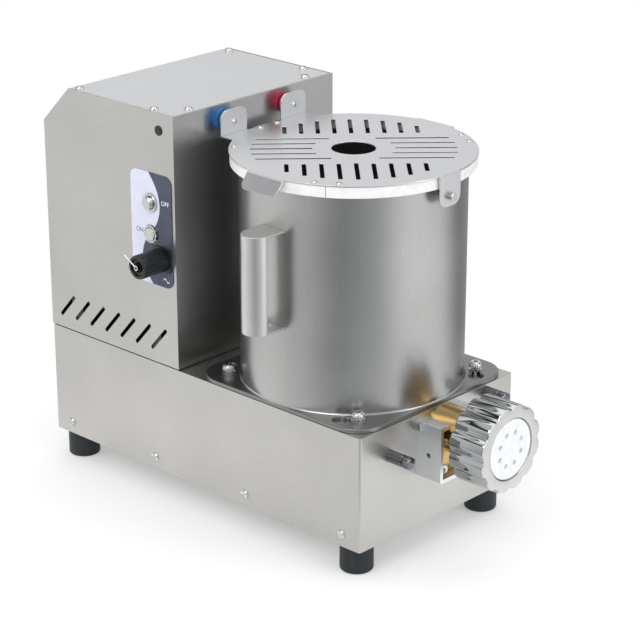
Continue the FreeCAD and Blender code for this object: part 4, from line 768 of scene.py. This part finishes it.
class PASTA_OT_fasteners(bpy.types.Operator):
    """Sets every screw head and the bayonet studs in their places"""
    bl_idname = "pasta.fasteners"
    bl_label = "Fasteners"

    def execute(self, context):
        sizes = context.scene.pasta_fasteners
        pan = slotted_head("pan_head", sizes.pan_radius, sizes.pan_height)
        small = slotted_head("lid_head", sizes.small_radius, sizes.small_height)
        side_places = []
        for low, high in solid_boxes("base_screws"):
            middle = (low + high) / 2
            facing = -1 if middle.y < CENTRE_Y else 1
            face_y = high.y if facing < 0 else low.y
            side_places.append(((middle.x, face_y, middle.z), (0, facing, 0)))
        up = (0, 0, 1)
        rows = (
            ("casing_screw_heads", side_places, pan, "housing", "base_screws"),
            ("cover_screw_heads", places_on("top_cover_screws", up), pan, "housing", "top_cover_screws"),
            ("lid_screw_heads", places_on("lid_screws", up), small, "lid", "lid_screws"),
            ("puck_screw_heads", places_on("magnet_screws", (1, 0, 0), sizes.small_height), small, "lid",
             "magnet_screws"),
        )
        for name, places, head, body, node in rows:
            seat(set_on_points(name, places, head, "bright_screw"), body, "bright_steel", node)
        low, high = solid_boxes("bayonet_studs")[0]
        tall = high.z - low.z
        radius = (high.x - low.x) / 2
        waist = radius * 0.72
        bore = 2.4 * MM
        shank = 3.2 * MM
        profile = [(bore, tall), (radius * 0.62, tall), (radius * 0.86, tall - 1.2 * MM),
                   (radius, tall - 3.6 * MM), (radius, tall - 5.4 * MM), (waist, tall - 5.9 * MM),
                   (waist, tall - 7.2 * MM), (radius, tall - 7.6 * MM), (radius, tall - 8.6 * MM),
                   (shank, tall - 8.7 * MM), (shank, 0), (0, 0), (0, tall - 3 * MM), (bore, tall - 3 * MM),
                   (bore, tall)]
        stud = fluted("stud_head", profile, 120, sizes.stud_ribs, sizes.stud_rib_depth, 1.0, radius * 0.97,
                      Matrix.Identity(4), "bright_screw")
        seat(set_on_points("bayonet_stud_heads", places_on("bayonet_studs", up), stud, "bright_screw"),
             "housing", "bright_steel", "bayonet_studs")
        for tool in (pan, small, stud):
            bpy.data.objects.remove(tool)
        return {"FINISHED"}


class PASTA_OT_panel(bpy.types.Operator):
    """Prints the words on the panel and finishes the buttons and the capped socket"""
    bl_idname = "pasta.panel"
    bl_label = "Control panel"

    def stand_on_panel(self, piece, place, thickness, finish):
        x, z = place
        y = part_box("overlay_dark")[0].y - thickness / 2
        piece.matrix_world = Matrix.Translation((x, y, z)) @ Matrix.Rotation(math.pi / 2, 4, "X")
        return paint(bake(piece), finish)

    def word(self, name, body, place, panel, finish):
        curve = bpy.data.curves.new(name, "FONT")
        curve.body = body
        curve.size = panel.letter
        curve.align_x = "CENTER"
        curve.align_y = "CENTER"
        curve.extrude = panel.ink / 2
        return self.stand_on_panel(link(name, curve), place, panel.ink, finish)

    def wave_sign(self, name, place, panel, finish):
        # one turn of a sine wave with a line's thickness, the sign for alternating current
        steps = 24
        wave = []
        for index in range(steps + 1):
            share = index / steps
            wave.append((panel.sign_width * (share - 0.5), panel.sign_height * math.sin(share * math.tau)))
        outline = [(u, w + panel.sign_line) for u, w in wave]
        outline += [(u, w - panel.sign_line) for u, w in reversed(wave)]
        curve = bpy.data.curves.new(name, "CURVE")
        curve.dimensions = "2D"
        curve.fill_mode = "BOTH"
        spline = curve.splines.new("POLY")
        spline.points.add(len(outline) - 1)
        for point, (u, w) in zip(spline.points, outline):
            point.co = (u, w, 0, 1)
        spline.use_cyclic_u = True
        curve.extrude = panel.ink / 2
        return self.stand_on_panel(link(name, curve), place, panel.ink, finish)

    def execute(self, context):
        panel = context.scene.pasta_panel
        sheet = context.scene.pasta_sheet
        seat(self.word("off_word", "OFF", OFF_WORD, panel, "white_ink"), "housing", "overlay_dark")
        seat(self.word("on_word", "ON", ON_WORD, panel, "slate_ink"), "housing", "overlay_light")
        seat(self.wave_sign("current_sign", CURRENT_SIGN, panel, "white_ink"), "housing", "overlay_dark")
        for node, body in (("off_button_cap", "off_button"), ("on_button_cap", "on_button")):
            seat_dressed(node, "bright_screw", panel.cap_edge, body, "button_steel", segments=3)
        for node in ("off_button_collar", "on_button_collar"):
            seat_dressed(node, "bright_screw", panel.collar_edge, "housing", "button_steel")
        low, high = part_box("socket_cap")
        radius = (high.z - low.z) / 2
        length = high.y - low.y
        boss = 4.2 * MM
        wall = radius - 2.0 * MM
        floor = length - 2.4 * MM
        # from the cap's middle out over its boss, its sunk ring and its rim, and back inside the skirt
        profile = [(0, length - 2.6 * MM), (boss, length - 2.6 * MM), (boss, length - 0.6 * MM),
                   (4.8 * MM, length), (5.2 * MM, floor), (8.4 * MM, floor), (8.6 * MM, length - 0.5 * MM),
                   (9.1 * MM, length), (radius - 1.6 * MM, length), (radius - 0.5 * MM, length - 0.7 * MM),
                   (radius, length - 2.0 * MM), (radius, 1.0 * MM), (radius - 0.6 * MM, 0), (wall, 0),
                   (wall, length - 4.8 * MM), (0, length - 4.8 * MM)]
        middle = (low + high) / 2
        matrix = Matrix.Translation((middle.x, high.y, middle.z)) @ turn_to((0, -1, 0))
        cap = fluted("ribbed_socket_cap", profile, 240, panel.cap_ribs, panel.cap_rib_depth, 4.0,
                     radius - 0.3 * MM, matrix, "black_nylon")
        seat(cap, "socket_cap", "black_plastic", "socket_cap")
        seat_dressed("auxiliary_socket", "black_nylon", sheet.moulded, "housing", "black_plastic")
        seat_dressed("socket_cap_eyelet", "bright_screw", 0.0, "socket_cap", "bright_steel")
        return {"FINISHED"}


class PASTA_OT_head(bpy.types.Operator):
    """Finishes the brass head, its bracket, the fluted ring nut, the die and the studs"""
    bl_idname = "pasta.head"
    bl_label = "Extrusion head"

    def execute(self, context):
        sheet = context.scene.pasta_sheet
        head = context.scene.pasta_head
        self.ring_nut(head)
        seat_dressed("die_insert", "white_acetal", sheet.moulded, "die", "die_plastic")
        self.die_pockets(head)
        for node, finish, edge, slot in (
                ("extrusion_barrel", "cast_brass", sheet.cast, "brass"),
                ("head_bracket", "milled_aluminium", sheet.cast, "cast_aluminium"),
                ("head_clip", "bright_screw", sheet.fold, "bright_steel"),
                ("barrel_screws", "bright_screw", context.scene.pasta_fasteners.pin_edge, "bright_steel")):
            seat_dressed(node, finish, edge, "housing", slot)
        self.grub_screw()
        self.accessory_studs()
        return {"FINISHED"}

    def ring_nut(self, head):
        low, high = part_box("ring_nut")
        radius = head.nut_radius
        length = high.x - low.x
        lip = length - 4.0 * MM
        # the outer rim first, back to front, then the window's lip and the bore
        profile = [(head.nut_bore, 0.8 * MM), (head.nut_bore + 0.7 * MM, 0), (radius - 1.6 * MM, 0),
                   (radius - 0.4 * MM, 0.5 * MM), (radius, 1.6 * MM), (radius, length - 1.8 * MM),
                   (radius - 0.5 * MM, length - 0.5 * MM), (radius - 1.7 * MM, length),
                   (head.nut_window + 1.0 * MM, length), (head.nut_window + 0.3 * MM, length - 0.4 * MM),
                   (head.nut_window, length - 1.2 * MM), (head.nut_window, lip), (head.nut_bore, lip),
                   (head.nut_bore, 0.8 * MM)]
        matrix = Matrix.Translation((low.x, CENTRE_Y, AUGER_Z)) @ turn_to((1, 0, 0))
        nut = fluted("fluted_ring_nut", profile, 288, head.flutes, head.flute_depth, head.flute_sharpness,
                     radius - 1.9 * MM, matrix, "chrome")
        nut.data.materials.append(MATERIALS["faced_chrome"])
        for face in nut.data.polygons:
            if face.normal.x > FACING:
                face.material_index = 1
        seat(nut, "ring_nut", "bright_steel", "ring_nut")

    def die_pockets(self, head):
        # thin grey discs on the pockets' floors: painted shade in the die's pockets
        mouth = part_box("die_insert")[1].x - head.pocket_depth
        radius = head.pocket_radius * 0.9
        thick = 0.3 * MM
        floor = lathe("pocket_floor", [(0, thick), (radius, thick), (radius, 0), (0, 0)], 20)
        places = []
        for index in range(head.pockets):
            angle = (index + 0.5) * math.tau / head.pockets
            places.append(((mouth, CENTRE_Y + head.pocket_ring * math.cos(angle),
                            AUGER_Z + head.pocket_ring * math.sin(angle)), (1, 0, 0)))
        seat(set_on_points("die_pockets", places, floor, "pocket_painted_shade"), "die", "die_plastic")
        bpy.data.objects.remove(floor)

    def grub_screw(self):
        # hexagon-socket grub screw, sunk in the bracket's side
        socket = 1.3 * MM
        radius = 2.5 * MM
        profile = [(0, 0.4 * MM), (socket, 0.4 * MM), (socket, 2.0 * MM), (radius - 0.3 * MM, 2.0 * MM),
                   (radius, 1.6 * MM), (radius, 0), (0, 0)]
        grub = lathe("grub_turning", profile, 24)
        low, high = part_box("head_bracket")
        hole = ((low.x + high.x) / 2, low.y + GRUB_DEPTH, AUGER_Z - GRUB_DROP)
        seat(set_on_points("bracket_grub_screw", [(hole, (0, -1, 0))], grub, "dark_chrome"), "housing",
             "bright_steel")
        bpy.data.objects.remove(grub)

    def accessory_studs(self):
        low, high = solid_boxes("accessory_studs")[0]
        radius = (high.z - low.z) / 2
        length = high.x - low.x
        groove = 4.6 * MM
        shoulder = radius - 0.5 * MM
        profile = [(0, length), (radius - 1.6 * MM, length), (radius - 0.4 * MM, length - 0.6 * MM),
                   (radius, length - 1.8 * MM), (radius, length - 7.2 * MM), (shoulder, length - 7.7 * MM),
                   (groove, length - 7.9 * MM), (groove, length - 9.3 * MM), (shoulder, length - 9.5 * MM),
                   (radius, length - 10.0 * MM), (radius, 0), (0, 0)]
        stud = lathe("stud_turning", profile, 40)
        studs = set_on_points("grooved_studs", places_on("accessory_studs", (1, 0, 0)), stud, "dark_chrome")
        bpy.data.objects.remove(stud)
        studs.data.materials.append(MATERIALS["bright_screw"])
        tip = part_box("accessory_studs")[1].x - 7.8 * MM
        for face in studs.data.polygons:
            if face.center.x > tip:
                face.material_index = 1
        seat(studs, "housing", "dark_chrome", "accessory_studs")


class PASTA_OT_feet(bpy.types.Operator):
    """Finishes the rubber feet and the cable gland"""
    bl_idname = "pasta.feet"
    bl_label = "Feet and gland"

    def execute(self, context):
        sheet = context.scene.pasta_sheet
        seat_dressed("rubber_feet", "foot_rubber", sheet.rubber, "housing", "rubber_black", segments=3)
        seat_dressed("cable_gland", "black_nylon", sheet.moulded, "housing", "black_plastic")
        return {"FINISHED"}


class PASTA_OT_stage(bpy.types.Operator):
    """Sets the pale floor, the lamps and the camera"""
    bl_idname = "pasta.stage"
    bl_label = "Stage"

    def lamp(self, name, place, size, power, colour):
        light = bpy.data.lights.new(name, "AREA")
        light.shape = "RECTANGLE"
        light.size, light.size_y = size
        light.energy = power
        light.color = colour
        lamp = link(name, light)
        lamp.location = place
        lamp.rotation_euler = (Vector(LAMP_AIM) - Vector(place)).to_track_quat("-Z", "Y").to_euler()

    def paper(self):
        # matt studio paper: takes the soft shadow near the object, lightened by a painted glow that runs out
        # to plain white; in reflections the glow shows the studio's bands
        material, tree, shader = new_material("studio_floor_paper", Base_Color=srgb(FLOOR_COLOUR),
                                              Roughness=0.7, Specular_IOR_Level=0.1)
        place = add(tree, "ShaderNodeTexCoord")
        spot = add(tree, "ShaderNodeVectorMath", [(0, place.outputs["Object"])], operation="LENGTH")
        fade = span(tree, spot.outputs["Value"], FADE_FROM, FADE_TO, FADE_LEAST, 1.0,
                    interpolation_type="SMOOTHSTEP")
        path = add(tree, "ShaderNodeLightPath")
        seen = maths(tree, "ADD", path.outputs["Is Camera Ray"], path.outputs["Is Glossy Ray"],
                     use_clamp=True)
        bands = band_profile(tree, place.outputs["Object"])
        tone = mixed_colour(tree, path.outputs["Is Camera Ray"], bands, WHITE)
        white = add(tree, "ShaderNodeEmission", [("Color", tone)], Strength=1.0)
        # the paper's glow: painted light over its shadow near the object, plain white farther out
        blend = add(tree, "ShaderNodeMixShader", [
            ("Fac", maths(tree, "MULTIPLY", seen, fade)), (1, shader.outputs["BSDF"]),
            (2, white.outputs["Emission"])])
        out = next(node for node in tree.nodes if node.type == "OUTPUT_MATERIAL")
        tree.links.new(blend.outputs["Shader"], out.inputs["Surface"])
        return material

    def studio(self):
        # bands of light round the horizon under a pale ceiling, plain white where the camera sees them
        world = bpy.data.worlds.new("studio")
        world.use_nodes = True
        sky = world.node_tree
        sky.nodes.clear()
        path = add(sky, "ShaderNodeLightPath")
        place = add(sky, "ShaderNodeTexCoord")
        parts = add(sky, "ShaderNodeSeparateXYZ", [("Vector", place.outputs["Generated"])])
        height = span(sky, parts.outputs["Z"], CEILING_FROM, CEILING_TO, 0.0, 1.0,
                      interpolation_type="SMOOTHSTEP")
        bands = band_profile(sky, place.outputs["Generated"])
        tone = mixed_colour(sky, height, bands, srgb(CEILING))
        # polished lobes and screw heads catch the flag as thin dark lines
        flag = ramp(sky, parts.outputs["Z"], FLAG)
        flagged = add(sky, "ShaderNodeVectorMath", [(0, tone), (1, flag.outputs["Color"])],
                      operation="MULTIPLY")
        lit = mixed_colour(sky, path.outputs["Is Glossy Ray"], tone, flagged.outputs["Vector"])
        soft = add(sky, "ShaderNodeBackground", [("Color", lit)], Strength=1.0)
        plain = add(sky, "ShaderNodeBackground", Color=WHITE, Strength=1.0)
        mixed = add(sky, "ShaderNodeMixShader", [
            ("Fac", path.outputs["Is Camera Ray"]), (1, soft.outputs["Background"]),
            (2, plain.outputs["Background"])])
        add(sky, "ShaderNodeOutputWorld", [("Surface", mixed.outputs["Shader"])])
        return world

    def execute(self, context):
        scene = context.scene
        scene.view_settings.view_transform = "Standard"
        mesh = bpy.data.meshes.new("studio_floor")
        corners = [(x * FLOOR_REACH, y * FLOOR_REACH, 0) for x, y in ((-1, -1), (1, -1), (1, 1), (-1, 1))]
        mesh.from_pydata(corners, [], [(0, 1, 2, 3)])
        mesh.materials.append(self.paper())
        link("studio_floor", mesh)
        scene.world = self.studio()
        for row in LAMPS:
            self.lamp(*row)
        camera = bpy.data.cameras.new("photo_camera")
        camera.lens = RIG_LENS
        camera.sensor_width = RIG_SENSOR
        viewer = link("photo_camera", camera)
        viewer.location = RIG_PLACE
        viewer.rotation_euler = (Vector(RIG_TARGET) - Vector(RIG_PLACE)).to_track_quat("-Z", "Y").to_euler()
        scene.camera = viewer
        return {"FINISHED"}


class PASTA_PT_panel(bpy.types.Panel):
    """Lists the pasta maker's groups of pieces and their sizes"""
    bl_idname = "PASTA_PT_panel"
    bl_label = "Pasta maker"
    bl_space_type = "VIEW_3D"
    bl_region_type = "UI"
    bl_category = "Pasta maker"

    def draw(self, context):
        column = self.layout.column()
        for group, kind in GROUPS.items():
            for name in kind.__annotations__:
                column.prop(getattr(context.scene, group), name)
        for operator in OPERATORS:
            column.operator(operator.bl_idname)


OPERATORS = (PASTA_OT_finishes, PASTA_OT_casing, PASTA_OT_bowl, PASTA_OT_lid, PASTA_OT_fasteners,
             PASTA_OT_panel, PASTA_OT_head, PASTA_OT_feet, PASTA_OT_stage)
GROUPS = {"pasta_sheet": SheetSettings, "pasta_fasteners": FastenerSettings, "pasta_lid": LidSettings,
          "pasta_panel": PanelSettings, "pasta_head": HeadSettings}


def register():
    for kind in (*GROUPS.values(), *OPERATORS, PASTA_PT_panel):
        bpy.utils.register_class(kind)
    for name, kind in GROUPS.items():
        setattr(bpy.types.Scene, name, bpy.props.PointerProperty(type=kind))


def unregister():
    for name in GROUPS:
        delattr(bpy.types.Scene, name)
    for kind in reversed((*GROUPS.values(), *OPERATORS, PASTA_PT_panel)):
        bpy.utils.unregister_class(kind)


def main():
    register()
    bpy.ops.pasta.finishes()
    bpy.ops.pasta.casing()
    bpy.ops.pasta.bowl()
    bpy.ops.pasta.lid()
    bpy.ops.pasta.fasteners()
    bpy.ops.pasta.panel()
    bpy.ops.pasta.head()
    bpy.ops.pasta.feet()
    bpy.ops.pasta.stage()


if __name__ == "__main__":
    main()
